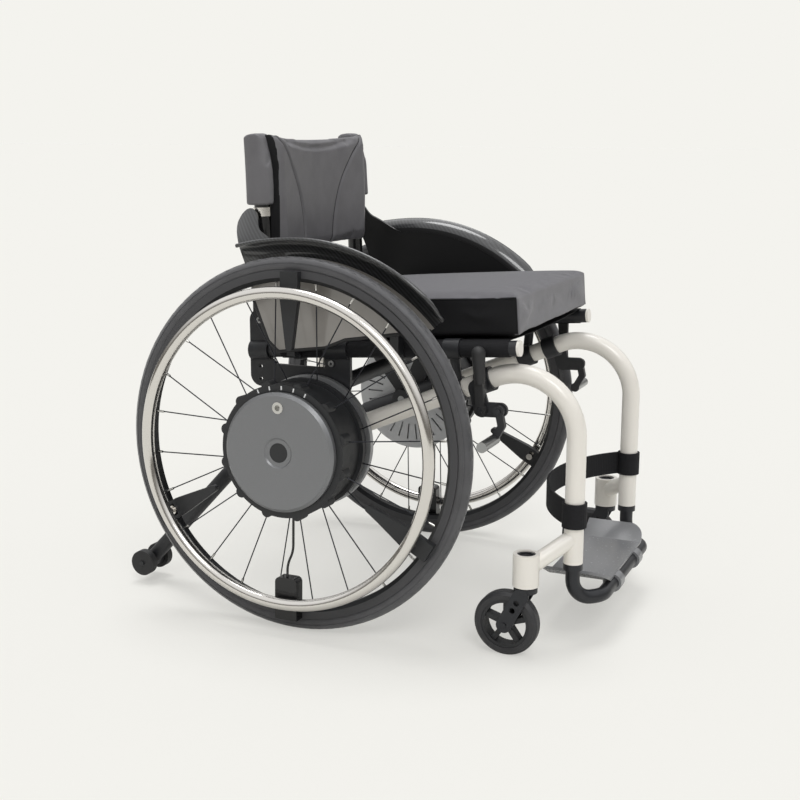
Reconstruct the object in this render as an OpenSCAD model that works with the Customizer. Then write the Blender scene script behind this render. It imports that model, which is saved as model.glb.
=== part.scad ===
// Rigid-frame active wheelchair with power-assist hub wheels.
// Millimetres. X points forward, Y to the user's left, Z up. The floor is Z = 0 and the
// origin lies on the floor under the middle of the chair's length.

/* [Drive wheel] */
// Outer radius of the drive wheel
wheel_r = 295; // [280:1:310]
// Section diameter of the tyre
tyre_s = 25; // [22:0.5:28]
// Distance of the wheel centres outward of the seat rails
track_out = 72; // [68:1:100]
// Camber angle, wheel tops lean in
camber = 2; // [0:0.5:3]
// Width of the rim
rim_w = 24; // [22.5:0.5:27]
// Depth of the rim section
rim_depth = 18; // [14:1:22]
// Spoke diameter
spoke_d = 2; // [1.6:0.1:2.4]
// Radius of the hand rim's centre line
handrim_r = 243; // [236:1:248]
// Tube diameter of the hand rim
handrim_d = 19; // [16:0.5:22]
// Wall of the hand rim tube
handrim_wall = 1.5; // [1:0.1:2.5]
// Distance of the hand rim outward of the wheel plane
handrim_out = 45; // [42:1:55]
// Twist of the hand rim each way that the sensor reads, degrees
handrim_twist = 1.2; // [0.5:0.1:2]

/* [Hub drive] */
// Outer radius of the hub drum
drum_r = 98; // [92:1:101]
// Wall of the hub drum
drum_wall = 4; // [3:0.5:5]
// Radius of the outer hub cover
cover_r = 93; // [84:0.5:93]
// Height of the cover's face outward of the wheel plane
hub_face = 58; // [54:1:64]
// Depth of the hub inward of the wheel plane
hub_back = 60; // [58:1:61]
// Radius of the slotted inner cover
back_cover_r = 106; // [102:1:112]
// Radius of the release button
button_r = 15; // [12:0.5:18]
// Travel of the release button
button_travel = 4; // [2:0.5:4.5]
// Outer radius of the charging socket
socket_r = 9; // [7:0.5:11]
// Diameter of the plug-in axle
axle_d = 12.7; // [11:0.1:13]
// Outer radius of the hub bearings
bearing_r = 14; // [12:0.5:16]
// Number of battery cells in a hub
cell_count = 16; // [12:1:18]
// Diameter of a battery cell
cell_d = 18; // [16:0.5:20]

/* [Side frame] */
// Distance of the side frames inward of the seat rails, at the tube axes
frame_in = 20; // [20:0.5:24]
// Diameter of the frame tube
tube_d = 30; // [28:0.5:32]
// Wall of the frame tube
tube_wall = 2; // [1.5:0.1:2.1]
// Slope of the frame tube, degrees
frame_slope = 22.8; // [20:0.2:24]
// Height of the tube axis line above the floor at the rear axle
tube_z = 288; // [282:1:292]
// Radius of the front bend
bend_r = 92; // [80:1:100]
// Distance of the front legs ahead of the rear axle
leg_x = 425; // [415:1:440]
// Height of the lower end of the front legs
leg_bottom = 135; // [125:1:145]
// Height of the cross tube
cross_z = 384; // [376:1:388]
// Distance of the cross tube ahead of the rear axle
cross_x = 40; // [34:1:46]
// Diameter of the cross tube
cross_d = 25; // [20:0.5:28]

/* [Casters] */
// Diameter of the caster wheel
caster_d = 100; // [90:1:104]
// Width of the caster wheel
caster_w = 24; // [20:1:28]
// Distance of the caster stems outward of the side frames
caster_out = 64; // [60:1:70]
// Distance of the caster stems ahead of the rear axle
caster_x = 371; // [364:1:374]
// Trail of the caster
caster_trail = 28; // [22:1:30]
// Outer diameter of the caster barrel
barrel_d = 40; // [36:1:44]
// Height of the caster barrel
barrel_h = 50; // [44:1:58]
// Height of the barrel's lower end above the caster wheel
barrel_over = 12; // [11:1:16]
// Diameter of the caster stem
stem_d = 12; // [10:0.5:14]

/* [Seat] */
// Distance of the seat rails inward of the cushion's sides
rail_in = 3; // [2:0.5:5]
// Diameter of the seat rails
rail_d = 24; // [20:0.5:25]
// Height of the rail axis at the rear axle
rail_z = 437; // [434:1:445]
// Slope of the seat rails, degrees
seat_slope = 4.2; // [2:0.2:5]
// Width of the cushion, which sets the width of the chair
cushion_w = 386; // [370:1:388]
// Rear edge of the cushion ahead of the backrest pivot
cushion_ahead = 55; // [50:1:65]
// Depth of the cushion
cushion_depth = 388; // [370:1:395]
// Height of the cushion at its edges
cushion_t = 62; // [45:1:68]
// Crown of the cushion above its edges
cushion_crown = 7; // [2:0.5:10]
// How far the cushion's sides are drawn in
cushion_pull = 4; // [1:0.5:8]

/* [Backrest] */
// Distance of the back canes inward of the seat rails
cane_in = 22; // [21.5:0.5:30]
// Diameter of the canes
cane_d = 26; // [22:0.5:26.5]
// Pivot of the backrest behind the rear axle
pivot_back = 98; // [94:1:102]
// Height of the backrest pivot
pivot_z = 515; // [512:1:522]
// Height of the top of the backrest above its pivot
back_rise = 260; // [225:1:285]
// Lean of the canes, degrees
cane_lean = 2.5; // [1:0.5:5]
// Height of the lower edge of the upholstery above the pivot
back_foot = 63; // [57:1:85]
// Sag of the upholstery between the canes
back_sag = 42; // [25:1:55]
// Thickness of the upholstery
back_t = 14; // [10:1:18]

/* [Side guards] */
// Distance of the side guards' inner face outward of the seat rails
guard_out = 32; // [31:0.5:35]
// Thickness of the guards
guard_t = 3; // [2:0.5:4]
// Gap between the tyre and the guard's top edge
guard_gap = 27; // [19:1:35]
// Width of the flared lip over the tyre
lip_w = 26; // [15:1:32]

/* [Brakes] */
// Height of the lever's top above its pivot
lever_len = 96; // [85:1:105]
// Radius of the brake roller
roller_r = 8; // [6:0.5:8.5]

/* [Footrest] */
// Diameter of the footrest tube
foot_d = 22; // [19:0.5:24]
// Bend radius of the footrest tube
foot_bend = 34; // [30:1:36]
// Height of the footrest cross bar
bar_z = 76; // [70:1:82]
// Gap between the footplate's sides and the leg axes
plate_gap = 30; // [28:1:45]
// Depth of the footplate
plate_d = 100; // [85:1:102]
// Thickness of the footplate
plate_t = 4; // [3:0.5:5]
// Height of the calf strap webbing
strap_h = 38; // [30:1:40]
// Height of the middle of the calf strap
strap_z = 211; // [208:1:225]
// Sag of the calf strap behind the legs
strap_sag = 70; // [50:1:85]

/* [Anti-tipper] */
// Diameter of the anti-tipper tube
tipper_d = 25; // [22:0.5:25.5]
// Distance of the anti-tipper wheels behind the rear axle
tipper_back = 340; // [320:1:350]
// Height of the anti-tipper wheels' centres
tipper_z = 36; // [32:1:45]
// Radius of the anti-tipper wheels
tipper_wheel_r = 22; // [18:1:25]
// Slope of the anti-tipper's lower run, degrees
tipper_slope = 47; // [42:1:52]

/* [Clearances] */
// Gap between seated pieces, a side
fit_gap = 0.1; // [0.05:0.01:0.15]
// Running gap of pins in their bores, a side
run_gap = 0.05; // [0.02:0.01:0.08]
// Free gap between pieces that move past each other
free_gap = 0.3; // [0.3:0.05:0.5]

/* [Hidden] */
$fn = 48;
rail_half = cushion_w / 2 - rail_in;
frame_half = rail_half - frame_in;
half_track = rail_half + track_out;
caster_half = frame_half + caster_out;
cane_half = rail_half - cane_in;
guard_half = rail_half + guard_out;
guard_r = wheel_r + guard_gap;
cushion_front = cushion_ahead - pivot_back + cushion_depth;
rail_front = cushion_front - 7;
plate_w = 2 * (frame_half - plate_gap);
white_paint = "#efefec";
black_metal = "#232427";
graphite = "#4b4c4f";
steel = "#c9cac8";
rubber_black = "#2a2a2b";
cloth_dark = "#3b3b3e";

// Wheel values, in the wheel's own frame with Z outward and Y up
tyre_centre_r = wheel_r - tyre_s / 2;
axle_z = tyre_centre_r * cos(camber) + tyre_s / 2;
rim_shoulder = 7;
rim_out = tyre_centre_r - rim_shoulder;
rim_in = rim_out - rim_depth;
rim_foot = rim_in + 6;
rim_face = rim_w / 2;
spoke_pairs = 12;
spoke_step = 360 / (2 * spoke_pairs);
lobe_spread = 2.5;
lobe_d = 18;
lobe_r = drum_r + 3;
lobe_inset = 0.6;
flange_w = 6;
flange_r = drum_r + flange_w;
bezel_top = hub_face - 12;
bezel_low = bezel_top - 24;
inner_flange_t = 8;
inner_flange_z = -34;
spoke_seat = 3;
back_cover_t = 10;
drum_back = -(hub_back - back_cover_t);
cover_seat = hub_face - 14;
ledge_w = 6;
ledge_t = 8;
drum_in = drum_r - drum_wall;
web_t = 4;
web_z = -21;
tube_end = 34;
hub_tube_r = bearing_r + 8;
dish_r = 24;
dish_depth = 2.5;
cover_chamfer = 5;
socket_up = 70;
lamp_count = 5;
lamp_step = 12;
axle_end = 31;
bearing_w = 10;
bearing_out_z = 22;
rotor_r = 60;
rotor_t = 5;
rotor_h = 20;
air_gap = 1;
stator_h = 24;
tooth_count = 18;
lug_count = 3;
lug_t = 10;
lug_z = rim_face + 2;
lug_tip_r = 158;
bolt_r = 4;
sensor_w = 38;
sensor_t = 20;
sensor_h = 52.5;
sensor_top_r = rim_in - sensor_h;
lead_d = 4;

// Frame values
frame_start = 30;
socket_wall = 4;
socket_front = 62;
socket_rear = 78;
tipper_start = 30;
plate_in = frame_half + 16;
side_plate_t = 8;
plate_out = plate_in + side_plate_t;
bend_x = leg_x - bend_r;
tangent_x = bend_x - bend_r * sin(frame_slope);
bend_z = tube_z + tan(frame_slope) * tangent_x - bend_r * cos(frame_slope);
barrel_z = caster_d + barrel_over;
collar_wall = 4;
rail_collar_r = rail_d / 2 + collar_wall;
rail_rear = -(pivot_back + 14);
sling_t = 2.2;
sling_gap = fit_gap;
cushion_base = rail_collar_r + free_gap;
pivot_x = -pivot_back;
back_top = pivot_z + back_rise;
back_bottom = pivot_z + back_foot;
pin_r = 5;
boss_half = frame_half - 20;
axle_plate_z = axle_z - (half_track - plate_in) * tan(camber);
foot_mid = 6;
bar_x = leg_x + foot_bend + foot_mid * sqrt(0.5);
strap_t = 4;
tipper_turn_x = (tipper_z + tan(tipper_slope) * tipper_back - tube_z)
    / (tan(frame_slope) - tan(tipper_slope));
tipper_bend_r = 60;
tipper_turn = tipper_slope - frame_slope;
brake_x = 290;
brake_z = 370;
arm_x = 319;
arm_z = 371;
roller_x = 312;
roller_z = 327;
brake_in = guard_half - 7;
brake_plate_t = 6;
clamp_x = 280;
saddle_x = 235;
front_reach = bar_x + foot_d / 2 + collar_wall;
rear_reach = tipper_back + tipper_wheel_r;
axle_x = (rear_reach - front_reach) / 2;

// Helpers

// The right side as drawn, the left side as its mirror image
module on_side(side) {
    translate([axle_x, 0, 0])
        if (side < 0) children();
        else mirror([0, 1, 0]) children();
}

module both_sides() {
    for (side = [-1, 1]) on_side(side) children();
}

// Wheel frame: Z outward along the cambered axle, Y up, X forward
module at_wheel() {
    translate([0, -half_track, axle_z]) rotate([90 - camber, 0, 0]) children();
}

// Along the right frame tube, Z on the tube axis, at a distance x ahead of the axle
module along_tube(x) {
    translate([x, -frame_half, tube_z + tan(frame_slope) * x])
        rotate([0, 90 - frame_slope, 0]) children();
}

// Seat frame: X along the rails, Z square to them, origin on the rail line over the axle
module on_seat() {
    translate([0, 0, rail_z]) rotate([0, -seat_slope, 0]) children();
}

// A flat outline drawn in X and Z, given a thickness outward from a distance y
module upright(y, t) {
    translate([0, -y, 0]) rotate([90, 0, 0]) linear_extrude(t) children();
}

module rod(a, b, d) {
    v = b - a;
    translate(a)
        rotate([0, acos(v.z / norm(v)), atan2(v.y, v.x)]) cylinder(d = d, h = norm(v));
}

// A straight link with round ends
module link(a, b, w) {
    v = b - a;
    translate(a) rotate(atan2(v.y, v.x)) {
        translate([0, -w / 2]) square([norm(v), w]);
        circle(d = w);
        translate([norm(v), 0]) circle(d = w);
    }
}

module tube_ring(d, wall) {
    difference() {
        circle(d = d);
        if (wall > 0) circle(d = d - 2 * wall);
    }
}

// A bent tube. Each step is a straight length, a bend radius, a bend angle and a roll.
// The wall draws a hair thinner in the bends
bend_draw = 0.02;
module pipe_run(d, wall, steps, i = 0) {
    if (i < len(steps)) {
        s = steps[i];
        if (s[0] > 0) linear_extrude(s[0]) tube_ring(d, wall);
        translate([0, 0, s[0]]) rotate(s[3]) {
            if (s[2] > 0)
                translate([s[1], 0, 0]) rotate([90, 0, 180])
                    rotate_extrude(angle = s[2]) translate([s[1], 0])
                        tube_ring(d - 2 * bend_draw, wall > 0 ? wall - 2 * bend_draw : 0);
            translate([s[1] * (1 - cos(s[2])), 0, s[1] * sin(s[2])])
                rotate([0, s[2], 0]) pipe_run(d, wall, steps, i + 1);
        }
    }
}

// Rounded rectangle, n points a corner and m spans an edge
function corner(a, b, r, q, t) = [
    (q == 0 || q == 3 ? a - r : r - a) + r * cos(t),
    (q < 2 ? b - r : r - b) + r * sin(t)
];
function outline(a, b, r, n, m) = [
    for (q = [0:3]) each concat(
        [for (i = [0:n]) corner(a, b, r, q, 90 * q + 90 * i / n)],
        [for (j = [1:m - 1])
            corner(a, b, r, q, 90 * q + 90) * (1 - j / m)
            + corner(a, b, r, (q + 1) % 4, 90 * q + 90) * j / m]
    )
];

// A closed solid through rings of points, each cap a fan round a given point
module loft(rings, low, high) {
    n = len(rings[0]);
    last = len(rings) - 1;
    points = concat([for (r = rings) each r], [low, high]);
    low_i = n * len(rings);
    sides = [for (i = [0:last - 1], j = [0:n - 1]) let (k = (j + 1) % n)
        each [[i * n + j, (i + 1) * n + j, (i + 1) * n + k], [i * n + j, (i + 1) * n + k, i * n + k]]];
    caps = [for (j = [0:n - 1]) let (k = (j + 1) % n)
        each [[low_i, j, k], [low_i + 1, last * n + k, last * n + j]]];
    polyhedron(points, concat(sides, caps));
}

// Drive wheel pieces, drawn for the right side in the wheel frame

module tyre() {
    rotate_extrude($fn = 96) translate([tyre_centre_r, 0]) circle(d = tyre_s);
}

module rim() {
    rotate_extrude($fn = 96) difference() {
        polygon([
            [rim_in, -rim_face / 2], [rim_in, rim_face / 2], [rim_foot, rim_face],
            [rim_out, rim_face], [rim_out, -rim_face], [rim_foot, -rim_face]
        ]);
        translate([tyre_centre_r, 0]) circle(d = tyre_s + 2 * fit_gap);
    }
}

function polar(r, a, z) = [r * cos(a), r * sin(a), z];

// Spokes leave each lobe in pairs, one from the outer flange and one from the inner one
module spokes() {
    for (k = [0:spoke_pairs - 1]) {
        a = spoke_step * (2 * k + 1);
        rod(polar(flange_r - spoke_seat, a - lobe_spread, bezel_low + 6),
            polar(rim_in + spoke_seat, a - spoke_step / 2, 1), spoke_d);
        rod(polar(flange_r - spoke_seat, a + lobe_spread, inner_flange_z + inner_flange_t / 2),
            polar(rim_in + spoke_seat, a + spoke_step / 2, -1), spoke_d);
    }
}

module hub_shell() {
    rotate_extrude($fn = 96) polygon([
        [bearing_r + run_gap, web_z], [drum_in, web_z], [drum_in, drum_back],
        [drum_r, drum_back], [drum_r, inner_flange_z], [flange_r, inner_flange_z],
        [flange_r, inner_flange_z + inner_flange_t], [drum_r, inner_flange_z + inner_flange_t],
        [drum_r, bezel_low], [flange_r, bezel_low],
        [flange_r, bezel_top], [drum_in, bezel_top], [drum_in, cover_seat],
        [drum_in - ledge_w, cover_seat], [drum_in - ledge_w, cover_seat - ledge_t],
        [drum_in, cover_seat - ledge_t - ledge_w], [drum_in, web_z + web_t],
        [hub_tube_r, web_z + web_t], [hub_tube_r, tube_end], [bearing_r + run_gap, tube_end]
    ]);
    for (k = [0:spoke_pairs - 1])
        rotate(spoke_step * (2 * k + 1)) translate([lobe_r, 0, bezel_low + lobe_inset])
            difference() {
                cylinder(d = lobe_d, h = bezel_top - bezel_low - 2 * lobe_inset);
                translate([-lobe_d - flange_w / 2 - 1, -lobe_d, -1])
                    cube([lobe_d, 2 * lobe_d, bezel_top - bezel_low + 2]);
            }
}

module hub_cover() {
    difference() {
        rotate_extrude($fn = 96) polygon([
            [button_r + 2 * fit_gap, cover_seat], [cover_r, cover_seat],
            [cover_r, hub_face - cover_chamfer], [cover_r - cover_chamfer, hub_face],
            [dish_r, hub_face], [dish_r - dish_depth, hub_face - dish_depth],
            [button_r + 2 * fit_gap, hub_face - dish_depth]
        ]);
        translate([0, socket_up, cover_seat - 1])
            cylinder(r = socket_r + fit_gap, h = hub_face);
    }
}

slit_count = 30;
slit_w = 3;
module hub_back_cover() {
    difference() {
        translate([0, 0, -hub_back])
            cylinder(r = back_cover_r, h = back_cover_t, $fn = 96);
        translate([0, 0, -hub_back - 1]) cylinder(r = bearing_r + 2, h = back_cover_t + 2);
        for (k = [0:slit_count - 1])
            rotate(360 / slit_count * k)
                translate([rotor_r, -slit_w / 2, -hub_back - 1])
                    cube([drum_in - rotor_r - 4, slit_w, back_cover_t / 2 + 1]);
    }
}

module charge_panel() {
    translate([0, socket_up, cover_seat]) difference() {
        cylinder(r = socket_r, h = hub_face - cover_seat + 1);
        translate([0, 0, 6]) cylinder(r = socket_r / 2, h = hub_face);
    }
    for (k = [0:lamp_count - 1])
        rotate(90 + lamp_step * (k - (lamp_count - 1) / 2))
            translate([drum_in + 2, -1, bezel_top]) cube([flange_w, 2, 0.8]);
}

module release_button() {
    translate([0, 0, cover_seat + 2])
        cylinder(r = button_r, h = hub_face - dish_depth + 0.5 - cover_seat - 2);
    translate([0, 0, axle_end + button_travel + 1])
        cylinder(r = pin_r, h = cover_seat + 3 - axle_end - button_travel - 1);
}

module stator() {
    translate([0, 0, drum_back + 2]) difference() {
        union() {
            difference() {
                cylinder(r = drum_in - fit_gap, h = stator_h, $fn = 96);
                translate([0, 0, -1]) cylinder(r = drum_in - 16, h = stator_h + 2, $fn = 96);
            }
            for (k = [0:tooth_count - 1])
                rotate(360 / tooth_count * k)
                    translate([rotor_r, -4, 0]) cube([drum_in - rotor_r - 14, 8, stator_h]);
        }
        translate([0, 0, -1]) cylinder(r = rotor_r + air_gap, h = stator_h + 2, $fn = 96);
    }
}

cell_ring_r = 71;
tray_t = 3;
module battery_pack() {
    translate([0, 0, web_z + web_t]) {
        difference() {
            cylinder(r = cell_ring_r + cell_d / 2 + 2, h = tray_t);
            translate([0, 0, -1]) cylinder(r = cell_ring_r - cell_d / 2 - 2, h = tray_t + 2);
        }
        for (k = [0:cell_count - 1])
            rotate(360 / cell_count * k) translate([cell_ring_r, 0, tray_t / 2])
                cylinder(d = cell_d, h = cover_seat - ledge_t - web_z - web_t - tray_t);
    }
}

lug_angles = [for (k = [0:lug_count - 1]) 90 + 360 / lug_count * k];
module handrim() {
    translate([0, 0, handrim_out])
        rotate_extrude($fn = 96) translate([handrim_r, 0]) tube_ring(handrim_d, handrim_wall);
    for (a = lug_angles) rotate(a) translate([handrim_r, 0, 0]) {
        translate([0, 0, lug_z - free_gap - 3])
            cylinder(r = bolt_r, h = handrim_out - handrim_d / 2 + 1 - lug_z + free_gap + 3);
        translate([0, 0, lug_z - free_gap - 5]) cylinder(r = bolt_r + 2, h = 5);
        translate([0, 0, lug_z + lug_t + free_gap]) cylinder(r = bolt_r + 3, h = 3);
    }
}

// Tapered lugs on the rim, each with a slot that lets the hand rim's bolt travel
lug_root_w = 30;
lug_tip_w = 11;
slot_half = handrim_twist + asin((bolt_r + 0.4) / handrim_r);
module rim_lugs() {
    for (a = lug_angles) rotate(a) difference() {
        union() {
            translate([0, 0, lug_z]) linear_extrude(lug_t) {
                polygon([
                    [rim_out - 2, -lug_root_w / 2], [rim_out - 2, lug_root_w / 2],
                    [rim_in - 28, lug_root_w / 2], [lug_tip_r, lug_tip_w / 2],
                    [lug_tip_r, -lug_tip_w / 2], [rim_in - 28, -lug_root_w / 2]
                ]);
                translate([lug_tip_r, 0]) circle(d = lug_tip_w);
            }
            translate([rim_foot, -lug_root_w / 2, rim_face])
                cube([rim_out - 2 - rim_foot, lug_root_w, lug_z - rim_face + 1]);
        }
        rotate(-slot_half) rotate_extrude(angle = 2 * slot_half)
            translate([handrim_r - bolt_r - free_gap, lug_z - 1])
                square([2 * (bolt_r + free_gap), lug_t + 2]);
    }
}

// Sensor box on the rim and its lead into the hub
lead_bend = 50;
lead_turn = 24;
lead_straight = 10;
lead_mid = 4;
lead_x = 2 * lead_bend * (1 - cos(lead_turn)) + lead_mid * sin(lead_turn);
lead_rise = lead_straight + 2 * lead_bend * sin(lead_turn) + lead_mid * cos(lead_turn);
lead_last = sensor_top_r - lead_rise - sqrt(pow(flange_r + fit_gap, 2) - pow(lead_x, 2));
module wheel_sensor() {
    translate([0, 0, rim_face]) linear_extrude(sensor_t) {
        translate([-sensor_w / 2, -(rim_out - 2)])
            square([sensor_w, rim_out - 2 - sensor_top_r - 8]);
        translate([-sensor_w / 2 + 8, -sensor_top_r - 8]) circle(r = 8);
        translate([sensor_w / 2 - 8, -sensor_top_r - 8]) circle(r = 8);
        translate([-sensor_w / 2 + 8, -sensor_top_r - 8]) square([sensor_w - 16, 8]);
    }
    translate([0, -sensor_top_r - 2, bezel_low + lead_d]) rotate([-90, 0, 0])
        pipe_run(lead_d, 0, [
            [lead_straight + 2, lead_bend, lead_turn, 0],
            [lead_mid, lead_bend, lead_turn, 180],
            [lead_last, 0, 0, 0]
        ]);
}

// Pieces on the fixed axles

module motor_axles() color(steel) both_sides() at_wheel() {
    translate([0, 0, -(half_track - boss_half)])
        cylinder(d = axle_d, h = half_track - boss_half + axle_end);
    translate([0, 0, -(half_track - plate_out) + 0.5])
        cylinder(r = axle_d / 2 + 5, h = half_track - plate_out - 0.5 - hub_back - 1);
}

// Bearings of the hubs and of the caster stems
caster_bearing_w = 9;
cap_sink = 8;
module bearing(outer_r, inner_d, w) {
    linear_extrude(w) difference() {
        circle(r = outer_r);
        circle(d = inner_d);
    }
}
module bearings() color(steel) both_sides() {
    at_wheel() for (z = [web_z, bearing_out_z])
        translate([0, 0, z]) bearing(bearing_r, axle_d + 2 * fit_gap, bearing_w);
    for (z = [barrel_z + 1, barrel_z + barrel_h - caster_bearing_w - cap_sink])
        translate([caster_x, -caster_half, z])
            bearing(bearing_r, stem_d + 2 * run_gap, caster_bearing_w);
}

module magnet_rotors() color("#8b8f94") both_sides() at_wheel()
    translate([0, 0, drum_back + 4]) rotate_extrude($fn = 96) polygon([
        [axle_d / 2 + fit_gap, 6], [rotor_r - rotor_t, 6], [rotor_r - rotor_t, 0], [rotor_r, 0],
        [rotor_r, rotor_h], [rotor_r - rotor_t, rotor_h], [rotor_r - rotor_t, 11],
        [axle_d / 2 + fit_gap, 11]
    ]);

// Frame

arm_d = 26;
arm_leg_z = 176;
module side_frames() color(white_paint) both_sides() {
    along_tube(frame_start) pipe_run(tube_d, tube_wall, [
        [(tangent_x - frame_start) / cos(frame_slope), bend_r, 90 + frame_slope, 0],
        [bend_z - leg_bottom, 0, 0, 0]
    ]);
    difference() {
        union() {
            rod([leg_x, -frame_half, arm_leg_z],
                [caster_x, -caster_half, barrel_z + barrel_h / 2], arm_d);
            translate([caster_x, -caster_half, barrel_z]) cylinder(d = barrel_d, h = barrel_h);
        }
        translate([leg_x, -frame_half, leg_bottom])
            cylinder(d = tube_d - tube_wall, h = bend_z - leg_bottom);
        translate([caster_x, -caster_half, barrel_z - 1])
            cylinder(r = bearing_r + fit_gap, h = barrel_h + 2);
    }
}

module cross_tube() color(black_metal)
    translate([axle_x + cross_x, plate_in, cross_z]) rotate([90, 0, 0])
        linear_extrude(2 * plate_in) tube_ring(cross_d, tube_wall);

// Castings that take the frame tube in front, the anti-tipper behind and the axle across
module axle_housings() color(black_metal) both_sides() difference() {
    union() {
        along_tube(-socket_rear)
            cylinder(d = tube_d + 2 * socket_wall, h = (socket_rear + socket_front) / cos(frame_slope));
        translate([0, -boss_half, axle_plate_z]) rotate([90, 0, 0])
            cylinder(d = tube_d + socket_wall, h = plate_in - boss_half);
    }
    along_tube(frame_start)
        cylinder(d = tube_d + 2 * fit_gap, h = socket_front / cos(frame_slope));
    along_tube(-socket_rear - 10)
        cylinder(d = tipper_d + 2 * fit_gap,
            h = (socket_rear + 10 - tipper_start) / cos(frame_slope));
    at_wheel() translate([0, 0, -half_track])
        cylinder(d = axle_d + 2 * fit_gap, h = half_track);
    upright(plate_in, tube_d)
        translate([-2 * socket_rear, tube_z - socket_rear]) square([4 * socket_rear, 3 * socket_rear]);
}

function rail_at(x) = rail_z + tan(seat_slope) * x;
plate_top_z = pivot_z - 18;
front_post_x = 40;
module rail_collar(x, length) {
    on_seat() translate([x, -rail_half, 0]) rotate([0, 90, 0])
        cylinder(r = rail_collar_r, h = length, center = true);
}
module rail_bore(x, length) {
    on_seat() translate([x, -rail_half, 0]) rotate([0, 90, 0])
        cylinder(d = rail_d + 2 * fit_gap, h = length, center = true);
}

module side_plates() color(black_metal) both_sides() difference() {
    union() {
        upright(plate_in, side_plate_t) {
            circle_at = [0, axle_plate_z];
            link(circle_at, [pivot_x + 12, rail_at(pivot_x) - 28], 32);
            link(circle_at, [front_post_x, cross_z], 34);
            link([pivot_x + 6, rail_at(pivot_x) - 32], [front_post_x, cross_z + 14], 22);
            link([pivot_x, rail_at(pivot_x) - 40], [pivot_x, plate_top_z - 19], 38);
            link([front_post_x, cross_z], [front_post_x, rail_at(front_post_x) - 8], 44);
            translate(circle_at) circle(d = 56);
        }
        rail_collar(pivot_x, 34);
        rail_collar(front_post_x, 40);
    }
    rail_bore(0, 4 * pivot_back);
    upright(plate_in - 1, side_plate_t + 2) {
        translate([0, axle_plate_z]) circle(d = axle_d + 6);
        for (z = accessory_z) translate([pivot_x, z]) circle(r = accessory_r);
    }
}

// Free holes below the seat on the rear posts, for accessories
accessory_r = 3.2;
accessory_pitch = 20;
accessory_z = [rail_z - 54, rail_z - 54 + accessory_pitch];

module seat_rails() color(black_metal) both_sides() on_seat()
    translate([rail_rear, -rail_half, 0]) rotate([0, 90, 0])
        linear_extrude(rail_front - rail_rear) tube_ring(rail_d, tube_wall);

guard_post_x = [-28, 150];
guard_post_rise = [22, 42];
post_w = 14;
module rail_brackets() color(black_metal) both_sides() {
    difference() {
        union() {
            along_tube(saddle_x) cylinder(d = tube_d + 2 * socket_wall, h = 26, center = true);
            rail_collar(saddle_x, 26);
            rod([saddle_x, -frame_half, tube_z + tan(frame_slope) * saddle_x],
                [saddle_x, -rail_half, rail_at(saddle_x)], 16);
        }
        along_tube(saddle_x) cylinder(d = tube_d + 2 * fit_gap, h = 80, center = true);
        rail_bore(saddle_x, 80);
    }
    for (k = [0, 1]) difference() {
        union() {
            rail_collar(guard_post_x[k], post_w);
            translate([guard_post_x[k] - post_w / 2, -guard_half, rail_at(guard_post_x[k]) - 6])
                cube([post_w, guard_half - rail_half - 6, guard_post_rise[k] + 6]);
        }
        rail_bore(guard_post_x[k], 80);
    }
}

module rail_caps() color(white_paint) both_sides() on_seat() {
    for (end = [[rail_front, 1], [rail_rear, -1]])
        translate([end[0], -rail_half, 0]) rotate([0, 90 * end[1], 0]) {
            cylinder(d = rail_d, h = 4);
            translate([0, 0, -10]) cylinder(d = rail_d - 2 * tube_wall - 2 * fit_gap, h = 11);
        }
}

bolt_head_r = 5;
bolt_places = [
    [pivot_x, plate_top_z - 18], [front_post_x - 10, rail_z - 20],
    [front_post_x + 10, cross_z - 6], [-24, axle_plate_z + 44], [18, axle_plate_z + 52]
];
module frame_bolts() color(steel) both_sides()
    for (p = bolt_places)
        upright(plate_out, 3) translate(p) difference() {
            circle(r = bolt_head_r);
            circle(r = 2.4, $fn = 6);
        }

// Plugs sunk in the barrels over the upper bearings
module caster_caps() color(black_metal) both_sides()
    translate([caster_x, -caster_half, barrel_z + barrel_h - cap_sink + fit_gap]) difference() {
        cylinder(r = bearing_r, h = cap_sink - 2);
        translate([0, 0, -1]) cylinder(r = stem_d / 2 + 1, h = 3);
        translate([0, 0, cap_sink - 4]) cylinder(r = bearing_r - 4, h = 3);
    }

// Seat

sling_front = rail_front - 12;
sleeve_spans = [[66, 136], [164, 218], [252, sling_front]];
module sleeve(span) {
    translate([span[0], -rail_half, 0]) rotate([0, 90, 0])
        linear_extrude(span[1] - span[0])
            tube_ring(rail_d + 2 * sling_gap + 2 * sling_t, sling_t);
}
module seat_sling() color(rubber_black) translate([axle_x, 0, 0]) on_seat() difference() {
    union() {
        translate([pivot_x + 40, -rail_half, rail_d / 2 + sling_gap])
            cube([sling_front - pivot_x - 40, 2 * rail_half, sling_t]);
        for (span = sleeve_spans) {
            sleeve(span);
            mirror([0, 1, 0]) sleeve(span);
        }
    }
    for (x = concat([[front_post_x, 41], [saddle_x, 27]], [for (g = guard_post_x) [g, post_w + 1]]),
         side = [-1, 1])
        translate([x[0], side * rail_half, 0]) rotate([0, 90, 0])
            cylinder(r = rail_collar_r + free_gap, h = x[1], center = true);
}

cushion_corner = 22;
cushion_edge = 4;
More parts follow.
